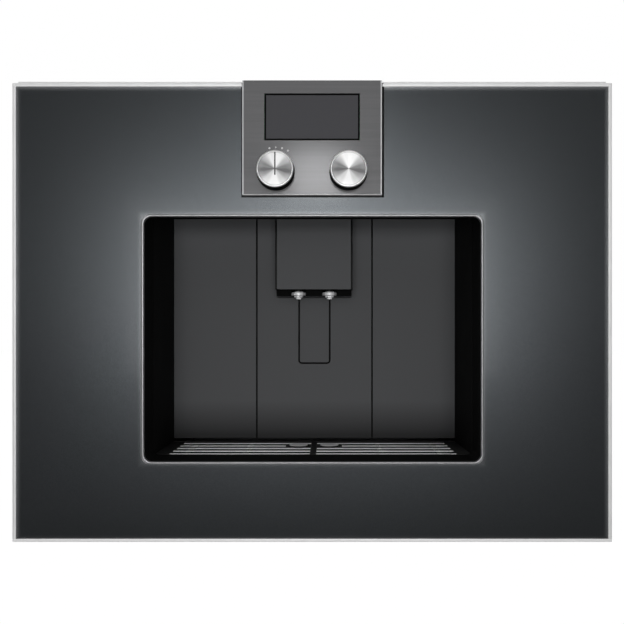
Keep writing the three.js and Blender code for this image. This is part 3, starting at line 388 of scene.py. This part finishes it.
black_plastic = moulded("grained_black_plastic", (0.017, 0.017, 0.018, 1))
wear(black_plastic, "fascia_top", "tank_bay_shelf", "brewer_bay_shelf", "bean_shelf", "drip_tray",
     "grounds_container", "brewer_cover", "tank_lid", "bean_lid", "brewer_chassis", "brewer_piston",
     "grinder_body")
smooth_plastic = moulded("smooth_black_plastic", (0.012, 0.012, 0.013, 1), 0.3, 0.00001)
wear(smooth_plastic, "main_switch_rocker", "mains_inlet", "fan_frame", "fan_rotor", "door_catch")


def bead(width, height, radius, place, thickness=0.0009):
    """A round bead along a rounded rectangle that stands upright at place: each point of the outline
    carries a circle, which reaches outwards in the plane and forwards out of it."""
    outline = rounded(width, height, radius, 8)
    onward = np.roll(outline, -1, axis=0) - np.roll(outline, 1, axis=0)
    onward /= np.linalg.norm(onward, axis=1)[:, None]
    turn = np.linspace(0, 2 * np.pi, 10, endpoint=False)
    across, ahead = thickness * np.cos(turn), thickness * np.sin(turn)
    x = place[0] + outline[:, :1] + onward[:, 1:] * across
    z = place[2] + outline[:, 1:] - onward[:, :1] * across
    return quads(np.stack([x, place[1] - ahead + 0 * x, z], -1), around=True, along=True)


# Finger grips on the tray and on the brewing unit's cover: a bead with a finer one inside it.
tray_grip = (0.0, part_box("drip_tray")[0].y, 0.055)
cover_grip = (0.19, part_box("brewer_cover")[0].y, 0.21)
fine = 0.0006
grips = solid("finger_grips",
              bead(0.11, 0.02, 0.0095, tray_grip), bead(0.09, 0.014, 0.0065, tray_grip, fine),
              bead(0.018, 0.09, 0.0085, cover_grip), bead(0.012, 0.078, 0.0055, cover_grip, fine))
grips.data.materials.append(black_plastic.owner)
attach(grips, "housing")

# The rocker's on and off marks: a bar and a ring, moulded in white.
rocker_lo, rocker_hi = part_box("main_switch_rocker")
rocker_x, rocker_z = (rocker_lo.x + rocker_hi.x) / 2, (rocker_lo.z + rocker_hi.z) / 2
mark_shift, mark_size = 0.0052, 0.0042
ring_place = (rocker_x, rocker_lo.y, rocker_z - mark_shift)
bar_place = (rocker_x, rocker_lo.y, rocker_z + mark_shift)
rocker_marks = solid("rocker_marks", bead(mark_size, mark_size, 0.00205, ring_place, 0.00035),
                     bar(rounded(0.0009, mark_size, 0.0003), [-0.00006, 0.0001], bar_place))
white_plastic = moulded("white_plastic", (0.55, 0.55, 0.55, 1))
rocker_marks.data.materials.append(white_plastic.owner)
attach(rocker_marks, "switch")


# ---- Serving recess ----
# Near-black side walls and ceiling, and a back wall of three steel panels with a satin
# anthracite coating. The centre panel is slotted for the outlet.

recess_black = moulded("recess_black", (0.0022, 0.0022, 0.0022, 1), 0.6, 0.00003, shine=0.06)
wear(recess_black, "recess_side_left", "recess_side_right", "recess_ceiling")


wall_grey = (0.048, 0.049, 0.051)
# Heights of the painted shade above the floor of the recess, and of the band of painted light below the top
# of the wall.
shade_low, shade_height = 0.089, 0.04
painted_light_low, painted_light_height, painted_light_end, painted_light_fade = 0.27, 0.055, 0.341, 0.01


def anthracite(name, half_width=1.0, painted_light_lift=0.4):
    """Satin coating: an even dark grey with a very fine speckle. Painted shade darkens it over the last
    stretch above its lower end, painted light makes it a little paler below its upper end, and it is black
    beyond half_width."""
    coat = Finish(name)
    up, speckle = coat.axis("Z"), coat.noise(1800.0, 1.0)
    shadow, plain, lighter, painted_light_grey = (tuple(channel * share for channel in wall_grey) + (1,)
                                     for share in (0.22, 1.0, 1.25, 1.1 + painted_light_lift))
    grey = coat.between(speckle, plain, lighter)
    # Painted shade over the last stretch above the lower end, then painted light below the upper end.
    grey = coat.between(((up - shade_low) / shade_height).held(), shadow, grey)
    painted_light_band = ((up - painted_light_low) / painted_light_height).held() ** 2.0 * ((painted_light_end - up) / painted_light_fade).held()
    grey = coat.between(painted_light_band, grey, painted_light_grey)
    grey = coat.between(abs(coat.axis("X")) > half_width, grey, (0.002, 0.002, 0.002, 1))
    coat.shade(Base_Color=grey, Specular_IOR_Level=0.2, Roughness=0.5 + speckle * 0.1,
               Normal=coat.relief(speckle, 0.00002, coat.soft_edge(0.0004)))
    return coat


wear(anthracite("anthracite_coating"), "recess_wall_left", "recess_wall_centre", "recess_wall_right",
     "outlet_carriage")

# The liner round the window is black, with a folded lip along the back of its top.
liner = Finish("liner_coating")
liner.shade(Base_Color=(0.002, 0.002, 0.002, 1), Specular_IOR_Level=0.06,
            Roughness=0.6 + liner.noise(900.0) * 0.1)
wear(liner, "window_liner")
liner_lo, liner_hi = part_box("window_liner")
lip_height, lip_depth, lip_inset = 0.0051, 0.0012, 0.006
lip_outline = rounded(liner_hi.x - liner_lo.x - 2 * lip_inset, lip_depth, 0.0004)
lip_place = (0, liner_hi.y - lip_depth, liner_hi.z - 0.0015)
lip = solid("liner_lip", bar(lip_outline, [0, -lip_height], lip_place, "z"))
lip.data.materials.append(liner.owner)
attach(lip, "door")

# Black strips of painted shade: one down each joint of the back wall and one round the outlet's channel.
wall_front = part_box("recess_wall_left")[0].y
seam_x, seam_low, seam_top, seam_width = 0.0678, 0.0852, 0.3492, 0.0021
channel_x, channel_low, channel_top, channel_radius, channel_width = 0.0181, 0.1733, 0.345, 0.0035, 0.0019


def shade_strip(path, width, rise, back):
    """A half-round strip along a path of (x, z) points: each section reaches half the width to
    both sides of the path and rises ahead of the depth called back."""
    path = np.array(path, float)
    tangent = np.gradient(path, axis=0)
    tangent /= np.linalg.norm(tangent, axis=1)[:, None]
    turn = np.linspace(0, np.pi, 7)
    across, ahead = width / 2 * np.cos(turn), rise * np.sin(turn)
    x = path[:, :1] - tangent[:, 1:] * across
    z = path[:, 1:] + tangent[:, :1] * across
    return quads(np.stack([x, back - ahead + 0 * x, z], -1), around=True, ends=True)


turn = np.linspace(0, np.pi / 2, 6)
corner = np.stack([channel_radius * np.sin(turn), channel_radius * (1 - np.cos(turn))], -1)
right_corner = np.array([channel_x - channel_radius, channel_low]) + corner
left_corner = right_corner[::-1] * (-1, 1)
channel = np.vstack([[(-channel_x, channel_top)], left_corner, right_corner, [(channel_x, channel_top)]])
shade_lines = [shade_strip(channel, channel_width, 0.00012, wall_front + 0.00001)]
for x in (-seam_x, seam_x):
    shade_lines.append(shade_strip([(x, seam_low), (x, seam_top)], seam_width, 0.0002, wall_front + 0.0001))
recess_shade_lines = solid("recess_shade_lines", *shade_lines)
recess_shade_lines.data.materials.append(recess_black.owner)
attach(recess_shade_lines, "housing")


# ---- Grille ----
# Five bright steel slats on each side of a black rib, joined below by cross bars, with two
# shallow round dishes under the nozzles. It lies on the drip tray and lifts out.

grille_lo, grille_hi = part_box("grille_slats")
slat_pitch, slat_width, slat_height, first_y = 0.0220, 0.0046, 0.0007, -0.2385
inner_x, outer_x, taper = 0.0034, grille_hi.x, 0.0005
nozzle_x, nozzle_y, dish_radius, dish_row, dish_clear = 0.0175, -0.1637, 0.0106, 3, 0.0142
slat_outline = rounded(slat_width, slat_height, 0.0002)
bars = []
for row in range(5):
    place = (0, first_y + row * slat_pitch, grille_hi.z - slat_height / 2)
    start_x = nozzle_x + dish_clear if row == dish_row else inner_x
    stations = np.array([start_x, start_x + taper, outer_x - taper, outer_x])
    bars += [bar(slat_outline, side * stations, place, "x", [0.92, 1, 1, 0.92]) for side in (-1, 1)]
bar_outline = rounded(0.005, 0.0014, 0.0004)
bar_stations = [grille_lo.y + 0.002, grille_hi.y - 0.002]
for x in (-0.1357, -0.0726, 0.0726, 0.1357):
    bars.append(bar(bar_outline, bar_stations, (x, 0, grille_lo.z + 0.0007)))
dish = [(0, grille_lo.z), (dish_radius * 0.7, grille_lo.z), (dish_radius * 0.93, grille_hi.z - 0.0008),
        (dish_radius, grille_hi.z - 0.0002), (dish_radius - 0.0004, grille_hi.z + 0.0001),
        (dish_radius - 0.0012, grille_hi.z - 0.0001), (dish_radius * 0.6, grille_hi.z - 0.0003),
        (0, grille_hi.z - 0.0004)]
bars += [turned(dish, (x, nozzle_y, 0), "z", 48) for x in (-nozzle_x, nozzle_x)]
grille_steel = solid("grille_steel", *bars)
bright_steel = Finish("bright_steel")
grain = bright_steel.noise(700.0, 2.0, (0.03, 1.0, 1.0))
# Everything below the tops of the slats is painted black as shade: the cross bars and the lower part of each
# dish.
painted_shade_below = bright_steel.axis("Z") < grille_hi.z - 0.0008
blasted = bright_steel.between(grain, (0.84, 0.84, 0.84, 1), (0.94, 0.94, 0.94, 1))
bright_steel.shade(Base_Color=bright_steel.between(painted_shade_below, blasted, (0.01, 0.01, 0.01, 1)), Metallic=0.2,
                   Roughness=0.4 + grain * 0.1, Normal=bright_steel.relief(grain, 0.000005))
grille_steel.data.materials.append(bright_steel.owner)
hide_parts("grille_slats")
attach(grille_steel, "grille")
frame_black = Finish("grille_frame_black")
# A lighter grey strip along the frame's rear edge is a painted highlight.
painted_highlight_width = 0.004
painted_highlight_bar = frame_black.axis("Y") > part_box("grille_frame")[1].y - painted_highlight_width
frame_black.shade(Base_Color=frame_black.between(painted_highlight_bar, (0.009, 0.009, 0.009, 1), (0.11, 0.11, 0.11, 1)),
                  Roughness=0.5 + frame_black.noise(900.0) * 0.1, Specular_IOR_Level=0.2)
wear(frame_black, "grille_frame")


# ---- Outlet ----
# A coated cover on a black body that slides up and down in the back wall, with two turned
# nozzles: a bright body with a darker flange round its middle, and a small bright spout.

# The cover's coating takes a weaker band of painted light below its top. Beyond half_width it is black: the
# black body's edge, and painted shade in the gap beside the cover.
wear(anthracite("outlet_coating", half_width=0.0415, painted_light_lift=0.15), "outlet_cover")
outlet_black = Finish("outlet_black")
skin = 0.00004
underside = outlet_black.axis("Z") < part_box("outlet_body")[0].z + skin
outlet_grey = outlet_black.between(underside, (0.0018, 0.0018, 0.0018, 1), (0.09, 0.091, 0.093, 1))
outlet_black.shade(Base_Color=outlet_grey, Roughness=0.6 + outlet_black.noise(900.0) * 0.1,
                   Specular_IOR_Level=0.05)
wear(outlet_black, "outlet_body")
spout_top, flange_low, flange_top, flange_from, body_top = 0.0023, 0.0039, 0.0081, 0.0050, 0.0084
for name in ("nozzle_left", "nozzle_right"):
    low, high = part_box(name)
    centre = ((low.x + high.x) / 2, (low.y + high.y) / 2, low.z)
    length, flange = high.z - low.z, (high.x - low.x) / 2
    shape = [(0, 0), (0.0023, 0), (0.0028, 0.0003), (0.0032, 0.0019), (0.0047, 0.0022), (0.0051, 0.0026),
             (0.0051, 0.0038), (0.0056, 0.0041), (flange - 0.0004, 0.0043), (flange, 0.0048),
             (flange, 0.0072), (flange - 0.0004, 0.0077), (0.0056, 0.0079), (0.0051, 0.0082),
             (0.0051, 0.0089), (0.0047, 0.0093), (0.0036, 0.0093), (0.0036, length), (0, length)]
    nozzle = solid(name + "_turned", turned(shape, centre, "z", 40))
    steel = Finish(name + "_steel")
    up, from_axis = steel.axis("Z") - low.z, abs(steel.axis("X") - centre[0])
    flange_side = (up > flange_low) * (up < flange_top) * (from_axis > flange_from)
    grey = steel.between(up > spout_top, (0.92, 0.92, 0.93, 1), (0.68, 0.68, 0.69, 1))
    grey = steel.between(flange_side, grey, (0.42, 0.42, 0.43, 1))
    lathe_marks = steel.noise(900.0, 1.0, (0.2, 0.2, 3.0))
    steel.shade(Base_Color=steel.between(up > body_top, grey, (0.01, 0.01, 0.01, 1)), Metallic=0.45,
                Roughness=0.42 + flange_side * 0.05, Normal=steel.relief(lathe_marks, 0.000008))
    nozzle.data.materials.append(steel.owner)
    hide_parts(name)
    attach(nozzle, "outlet")

cast = Finish("cast_aluminium")
skin_noise = cast.noise(260.0, 3.0)
cast.shade(Base_Color=cast.between(skin_noise, (0.42, 0.43, 0.44, 1), (0.6, 0.6, 0.61, 1)), Metallic=1.0,
           Roughness=0.42 + skin_noise * 0.18,
           Normal=cast.relief(skin_noise, 0.00012, cast.soft_edge(0.0008)))
wear(cast, "outlet_guide", "pump", "heater_block")


# ---- Door glass ----
# Safety glass with an anthracite metallic lacquer on its back, that holds fine flakes. The
# glass in front of it gives a faint clear coat. The lacquer is painted lighter near the door's edges,
# as a highlight, and faintly round the window, as a glow.

glass = Finish("anthracite_glass")
flake = glass.node("ShaderNodeTexVoronoi", {}, {"Vector": glass.where, "Scale": 1500.0}, "Color")
flake = glass.node("ShaderNodeSeparateXYZ", {}, {0: flake}, "X")
glass_lo, glass_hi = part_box("door_glass")
# Widths of the painted highlight along the door's edges and of the fainter painted glow round the window.
edge_width, lower_shift, halo_width = 0.0055, 0.0020, 0.005
halo_x, halo_low, halo_top = 0.1684, 0.0787, 0.3243
from_middle, up = abs(glass.axis("X")), glass.axis("Z")
to_edge = (glass_hi.x - from_middle).math("MINIMUM", up - glass_lo.z + lower_shift)
to_edge = to_edge.math("MINIMUM", glass_hi.z - up)
to_window = (from_middle - halo_x).math("MAXIMUM", up - halo_top).math("MAXIMUM", halo_low - up)
painted_glow = (1.0 - to_edge / edge_width).held() ** 2.5 + 0.2 * (1.0 - to_window / halo_width).held() ** 2.0
lacquer = glass.between(flake, (0.055, 0.060, 0.064, 1), (0.073, 0.079, 0.084, 1))
glass.shade(Base_Color=glass.between(painted_glow, lacquer, (0.34, 0.35, 0.36, 1)), Metallic=1.0,
            Roughness=0.25 + flake * 0.02, Coat_Weight=0.12, Coat_Roughness=0.08)
wear(glass, "door_glass")

# The inner panel: black lacquered sheet, held by countersunk screws round its rim and the window.
wear(black_plastic, "door_inner_panel")
panel_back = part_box("door_inner_panel")[1].y
places = [(side * 0.281, z) for side in (-1, 1) for z in (0.10, 0.225, 0.35)]
places += [(x, z) for x in (-0.2, -0.067, 0.067, 0.2) for z in (0.0145, 0.441)]
places += [(side * 0.179, z) for side in (-1, 1) for z in (0.09, 0.2, 0.31)]
places += [(x, z) for x in (-0.1, 0.1) for z in (0.068, 0.335)]
door_heads = [turned(flat_head, (x, panel_back, z), "y", head_steps) for x, z in places]
door_screws = solid("door_screws", *door_heads)
door_screws.data.materials.append(plated.owner)
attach(door_screws, "door")


# ---- Door edge ----
# A satin metal profile round the glass, with an outer chamfer and a flat inner land, and a
# raised bead along the top on each side of the control module.

brushed = Finish("satin_edge_metal")
lines = brushed.noise(500.0, 2.0, (0.15, 1.0, 0.15))
lower_top, joint_top, joint_x = 0.0050, 0.0064, 0.2914
up = brushed.axis("Z")
adhesive = (up > lower_top) * (up < joint_top) * (abs(brushed.axis("X")) < joint_x)
metal = brushed.between(lines, (0.74, 0.74, 0.74, 1), (0.86, 0.86, 0.86, 1))
# The lowest strip of the edge is painted almost white, as a highlight.
metal = brushed.between(up < lower_top, metal, (0.97, 0.97, 0.97, 1))
brushed.shade(Base_Color=brushed.between(adhesive, metal, (0.16, 0.16, 0.16, 1)), Metallic=0.6,
              Roughness=0.38 + lines * 0.1, Normal=brushed.relief(lines, 0.00001))
wear(brushed, "door_edge")

door_x, door_low, door_top, door_front = 0.295, 0.002, 0.4535, -0.291
gap_x, bead_top, bead_x = 0.0692, 0.4548, 0.289
land = [(0.0, 0.00002), (0.0002, -0.00012), (0.0016, -0.00048), (0.0018, -0.0005), (0.0035, -0.0005),
        (0.0036, 0.00002)]


def edge_strip():
    """The front land of the edge: each point of the profile is (inset, height ahead of the door),
    and its inset moves all four sides of the rectangle inwards together."""
    inset, ahead = np.array(land).T
    x = np.stack([-gap_x + 0 * inset, -door_x + inset, -door_x + inset, door_x - inset, door_x - inset,
                  gap_x + 0 * inset])
    z = np.stack([door_top - inset, door_top - inset, door_low + inset, door_low + inset, door_top - inset,
                  door_top - inset])
    return quads(np.stack([x, door_front + ahead + 0 * x, z], -1), around=True, ends=True)


def top_bead(side):
    """The raised bead: a half-round profile, whose points lie ahead by the sine and up by the cosine
    of the turn, carried along X."""
    turn = np.linspace(0, np.pi, 7)
    outline = np.stack([-0.0006 * np.sin(turn), 0.00064 * np.cos(turn)], -1)
    place = (0, door_front + 0.0002, (door_top + bead_top) / 2)
    return bar(outline, [side * gap_x, side * bead_x], place, "x")


edge_land = solid("edge_land", edge_strip(), top_bead(-1), top_bead(1), sharp=12)
edge_land.data.materials.append(brushed.owner)
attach(edge_land, "door")


# ---- Window rim ----
# A bright metal rim rounded over towards the opening, pressed into the glass.

window_x, window_low, window_top, window_shift = 0.1660, 0.0807, 0.3219, 0.0003
corner_radius, corner_steps = 0.0075, 13


def rim_surface():
    """The rim's section carried round the opening: a section point lies out from the opening's edge
    by u, so on a straight it moves outwards by u and at a corner its radius grows by u."""
    section = np.array([(0.0, 0.0040), (0.0, 0.0007), (0.0002, 0.0002), (0.0007, -0.00015), (0.0012, -0.0002),
                        (0.0019, -0.00012), (0.0026, -0.00006), (0.0031, -0.00003), (0.0023, -0.00001),
                        (0.0023, 0.0040)])
    turn = np.linspace(0, np.pi / 2, corner_steps)
    angle = np.concatenate([turn + quarter * np.pi / 2 for quarter in range(4)])
    reach_x, reach_z = window_x - corner_radius, (window_top - window_low) / 2 - corner_radius
    hub_x = window_shift + np.repeat([1, -1, -1, 1], corner_steps) * reach_x
    hub_z = (window_low + window_top) / 2 + np.repeat([1, 1, -1, -1], corner_steps) * reach_z
    radius = corner_radius + section[:, 0]
    x = hub_x[:, None] + np.cos(angle)[:, None] * radius
    z = hub_z[:, None] + np.sin(angle)[:, None] * radius
    return quads(np.stack([x, door_front + section[:, 1] + 0 * x, z], -1), around=True, along=True)


window_rim = solid("window_rim_bright", rim_surface())
rim_finish = Finish("bright_rim")
rim_grain = rim_finish.noise(900.0)
# The narrow strip next to the opening is painted lighter than the rest of the rim, as a highlight.
highlight_width = 0.0015
up = rim_finish.axis("Z")
from_opening = (abs(rim_finish.axis("X")) - window_x).math("MAXIMUM", up - window_top)
outside = from_opening.math("MAXIMUM", window_low - up) > highlight_width
bright = rim_finish.between(rim_grain, (0.41, 0.41, 0.42, 1), (0.49, 0.49, 0.5, 1))
rim_finish.shade(Base_Color=rim_finish.between(outside, bright, (0.2, 0.205, 0.21, 1)), Metallic=1.0,
                 Roughness=0.34 + rim_grain * 0.08)
window_rim.data.materials.append(rim_finish.owner)
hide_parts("window_rim")
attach(window_rim, "door")


# ---- Control module ----
# A box of dark satin steel with softly bevelled edges, let into the top of the door. Its
# front holds the display, four plain printed marks, and the two knobs.

module_lo, module_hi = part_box("control_module")
display_lo, display_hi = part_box("display_glass")


def module_surface():
    """The casing as one ring: a rectangle (half width, low, high, depth) changes from the outer back
    edge over the bevel to the display opening, and back inside to the rear."""
    front, wall, bevel, fit, lower_gap = module_lo.y, 0.0025, 0.0007, 0.0003, 0.0002
    out = [module_hi.x, module_lo.z + lower_gap, module_hi.z]
    hole = [display_hi.x + fit, display_lo.z - fit, display_hi.z + fit]
    stages = [(*out, module_hi.y), (*out, front + bevel)]
    for turn in (0.5, 1.0):
        shrink, ahead = bevel * (1 - np.cos(turn * np.pi / 2)), bevel * (1 - np.sin(turn * np.pi / 2))
        stages.append((out[0] - shrink, out[1] + shrink, out[2] - shrink, front + ahead))
    stages += [(hole[0], hole[1], hole[2], front), (hole[0], hole[1], hole[2], front + wall),
               (out[0] - wall, out[1] + wall, out[2] - wall, front + wall),
               (out[0] - wall, out[1] + wall, out[2] - wall, module_hi.y)]
    half, low, high, depth = np.array(stages).T
    x = np.stack([-half, half, half, -half], -1)
    z = np.stack([low, low, high, high], -1)
    return quads(np.stack([x, depth[:, None] + 0 * x, z], -1), around=True, along=True)


casing = solid("module_casing", module_surface(), sharp=20)
module_steel = Finish("dark_satin_steel")
strokes = module_steel.noise(420.0, 3.0, (0.02, 1.0, 1.0))
steel_grey = module_steel.between(strokes, (0.095, 0.095, 0.097, 1), (0.124, 0.124, 0.127, 1))
# The bevels along the sides and the foot are painted pale, as highlights.
highlight_side, highlight_foot = 0.0013, 0.0010
beside = abs(module_steel.axis("X")) > module_hi.x - highlight_side
bevel_highlight = beside.math("MAXIMUM", module_steel.axis("Z") < module_lo.z + highlight_foot)
module_steel.shade(
    Base_Color=module_steel.between(bevel_highlight, steel_grey, (0.46, 0.46, 0.47, 1)), Metallic=0.2,
    Roughness=0.1 + strokes * 0.03, Specular_IOR_Level=0.03, Normal=module_steel.relief(strokes, 0.000006))
casing.data.materials.append(module_steel.owner)
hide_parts("control_module")
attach(casing, "door")

# A black strip on the glass round the module, wider on the right: the module's painted shadow. At each
# corner its section runs over a share of the way from the inner to the outer outline and swells forwards.
shadow_top = 0.4534
outer = np.array([(-0.0697, shadow_top), (-0.0697, 0.3409), (0.0707, 0.3409), (0.0707, shadow_top)])
inner = np.array([(-0.0685, shadow_top), (-0.0685, 0.3418), (0.0685, 0.3418), (0.0685, shadow_top)])
share, swell = np.array([(0.0, 0.0003), (0.0, -0.0002), (0.35, -0.0004), (0.8, -0.0002), (1.0, -0.00001),
                         (1.0, 0.0003)]).T
across = inner[:, None] + (outer - inner)[:, None] * share[None, :, None]
shadow_points = np.stack([across[..., 0], door_front + swell + 0 * across[..., 0], across[..., 1]], -1)
module_painted_shadow = solid("module_painted_shadow", quads(shadow_points, around=True, ends=True))
module_painted_shadow.data.materials.append(recess_black.owner)
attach(module_painted_shadow, "door")

# The display: black printed border and a dark grey field behind clear glass.
display = Finish("display_glass")
half_width, half_height = (display_hi.x - display_lo.x) / 2, (display_hi.z - display_lo.z) / 2
border = 0.0016
from_centre = abs(display.axis("Z") - (display_lo.z + half_height))
beyond = abs(display.axis("X")) > half_width - border
beyond = beyond.math("MAXIMUM", from_centre > half_height - border)
display.shade(Base_Color=display.between(beyond, (0.041, 0.041, 0.0445, 1), (0.0005, 0.0005, 0.0005, 1)),
              Roughness=0.3 + display.noise(30.0) * 0.04, Specular_IOR_Level=0.04)
wear(display, "display_glass")

# Marks: a dot, a triangle, a hexagon and a small square, printed at four stops round the left knob.
knob_x, knob_z, mark_radius, ink_depth = -0.0355, 0.3652, 0.0238, 0.00003
marks = []
for degrees, size, sides in ((-15, 0.0010, 24), (0, 0.0011, 3), (15, 0.0011, 6), (30, 0.0012, 4)):
    stop = np.radians(degrees)
    centre = (knob_x + mark_radius * np.sin(stop), module_lo.y - 0.00004, knob_z + mark_radius * np.cos(stop))
    film = [(0, -ink_depth), (size, -ink_depth), (size, ink_depth), (0, ink_depth)]
    marks.append(turned(film, centre, "y", sides))
printed = solid("printed_marks", *marks)
ink = Finish("white_ink")
ink.shade(Base_Color=ink.between(ink.noise(2000.0), (0.34, 0.34, 0.34, 1), (0.42, 0.42, 0.42, 1)),
          Roughness=0.5)
printed.data.materials.append(ink.owner)
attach(printed, "door")


# ---- Knobs ----
# Solid aluminium, spun on a lathe so that fine rings cross the face. Its light and dark sectors are a painted
# reflection, its bright rounded rim a painted highlight, and its side dark metal painted black as shade; a
# black ring behind it is painted shade. The left one has an engraved pointer.

radius, sweep_end, line_from, line_to, rim_from = 0.018, 0.0105, 0.0154, 0.0163, 0.0166
face_depth, side_from = 0.0003, 0.0012
for name, body, x, level, tilt in (("selector_knob", "selector", knob_x, 0.83, 0.02),
                                  ("adjust_knob", "adjuster", -knob_x, 0.88, 0.08)):
    low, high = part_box(name)
    front, back = low.y, high.y
    shape = [(0, front + 0.0002), (0.004, front + 0.00012), (0.010, front + 0.00004), (0.0165, front),
             (0.0170, front + 0.00002), (0.0175, front + 0.0002), (0.0179, front + 0.0006),
             (radius, front + 0.0011), (radius, back - 0.0004), (radius - 0.0004, back), (0.0033, back),
             (0.0033, front + 0.005), (0, front + 0.005)]
    # A thin ring behind the knob, a little wider than it: painted shade round the knob's foot.
    shade_ring = [(0.0034, back), (0.0186, back), (0.0186, back + 0.0005), (0.0034, back + 0.0005)]
    knob = solid(name + "_spun", turned(shape, (x, 0, knob_z), "y", 128),
                 turned(shade_ring, (x, 0, knob_z), "y", 64))
    spun = Finish(name + "_aluminium")
    dx, dz = spun.axis("X") - x, spun.axis("Z") - knob_z
    away = (dx * dx + dz * dz) ** 0.5
    # Painted reflection of the spun face: lighter above and below the middle, darker to the sides, with a
    # shimmer round it, lighter towards the rim and a little lighter at the top.
    turn = dz.math("ARCTAN2", dx)
    lobes = (turn * 2.0 + 0.15).math("COSINE")
    shimmer = (turn * 7.0).math("SINE") * 0.5 + (turn * 13.0 + 1.0).math("SINE") * 0.5
    painted_sectors = (0.5 - lobes * 0.5 + shimmer * 0.09 + ((away - sweep_end) * 20.0).held()).held()
    painted_sectors = painted_sectors * (level + turn.math("SINE") * tilt)
    face = spun.axis("Y") < front + face_depth
    bright = spun.between(painted_sectors, (0.11, 0.11, 0.112, 1), (0.71, 0.71, 0.71, 1))
    ring_line = (away > line_from) * (away < line_to)
    bright = spun.between(ring_line * 0.35, bright, (0.1, 0.1, 0.1, 1))
    # The rim is painted almost white, as a highlight; the side and the ring behind it are painted black.
    lit_face = spun.between(away > rim_from, bright, (0.98, 0.98, 0.98, 1))
    side = spun.axis("Y") > front + side_from
    spun.shade(Base_Color=spun.between(side, lit_face, (0.002, 0.002, 0.002, 1)), Metallic=1.0 - side,
               Specular_IOR_Level=0.03, Roughness=0.36 + side * 0.2 + face * 0.02,
               Normal=spun.relief((away * 9000.0).math("SINE") * face, 0.000006))
    knob.data.materials.append(spun.owner)
    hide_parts(name)
    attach(knob, body)
    if body == "selector":
        groove = rounded(0.0014, 0.0222, 0.0004)
        pointer = solid("pointer_line", bar(groove, [-0.00004, 0.00008], (x, front, knob_z + 0.005)))
        dark = Finish("engraved_black")
        dark.shade(Base_Color=dark.between(dark.noise(1500.0), (0.03, 0.03, 0.03, 1), (0.05, 0.05, 0.05, 1)),
                   Roughness=0.6)
        pointer.data.materials.append(dark.owner)
        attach(pointer, body)


# ---- Circuit boards ----
# Green laminate with black parts soldered on: the power board, which lies flat in the housing,
# and the upright control board behind the knobs.

board = Finish("circuit_board")
tracks = board.node("ShaderNodeTexVoronoi", {"distance": "CHEBYCHEV"},
                    {"Vector": board.where, "Scale": 260.0})
laminate_top, door_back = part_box("power_board")[0].z + 0.0018, -0.2
high_part = (board.axis("Z") > laminate_top) * (board.axis("Y") > door_back)
green = board.between(tracks > 0.35, (0.01, 0.07, 0.03, 1), (0.03, 0.14, 0.06, 1))
board.shade(Base_Color=board.between(high_part, green, (0.02, 0.02, 0.022, 1)),
            Roughness=0.4 + board.noise(60.0) * 0.2,
            Normal=board.relief(tracks, 0.00008, board.soft_edge(0.0005)))
wear(board, "power_board", "control_board")


# ---- Tank and bean container ----
# Blow-moulded smoked plastic, clear enough to show the level inside. Both stand on shelves in
# their bays and lift out by hand.

smoked = Finish("smoked_clear_plastic")
ripple = smoked.noise(30.0)
smoked.shade(Base_Color=smoked.between(ripple, (0.3, 0.34, 0.36, 1), (0.38, 0.42, 0.44, 1)),
             Roughness=0.12 + ripple * 0.08, Alpha=0.5 + ripple * 0.12,
             Normal=smoked.relief(ripple, 0.0004, smoked.soft_edge(0.001)))
wear(smoked, "water_tank", "bean_container")

# On the tank's front: a moulded grip, and ribs that mark the level.
tank_lo, tank_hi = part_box("water_tank")
tank_x = (tank_lo.x + tank_hi.x) / 2
tank_grip = (tank_x, tank_lo.y, 0.285)
shapes = [bead(0.07, 0.018, 0.0085, tank_grip), bead(0.054, 0.011, 0.005, tank_grip, fine)]
rib, rib_x, rib_low, rib_pitch = rounded(0.0008, 0.0008, 0.0003), tank_hi.x - 0.018, 0.10, 0.02
for step in range(9):
    half = 0.009 if step % 4 == 0 else 0.005
    shapes.append(bar(rib, [-half, half], (rib_x, tank_lo.y, rib_low + step * rib_pitch), "x"))
tank_details = solid("tank_details", *shapes)
tank_details.data.materials.append(smoked.owner)
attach(tank_details, "housing")


# ---- Drive parts ----
# Machined steel, turned on a lathe: the spindle of the brewing unit, the burr and the grinder's
# motor.

machined = Finish("machined_steel")
rings = machined.noise(900.0, 2.0, (0.1, 0.1, 2.0))
machined.shade(Base_Color=machined.between(rings, (0.4, 0.4, 0.41, 1), (0.6, 0.6, 0.61, 1)), Metallic=1.0,
               Roughness=0.25 + rings * 0.2,
               Normal=machined.relief(rings, 0.00002, machined.soft_edge(0.0006)))
wear(machined, "brewer_spindle", "grinder_burr", "grinder_motor")
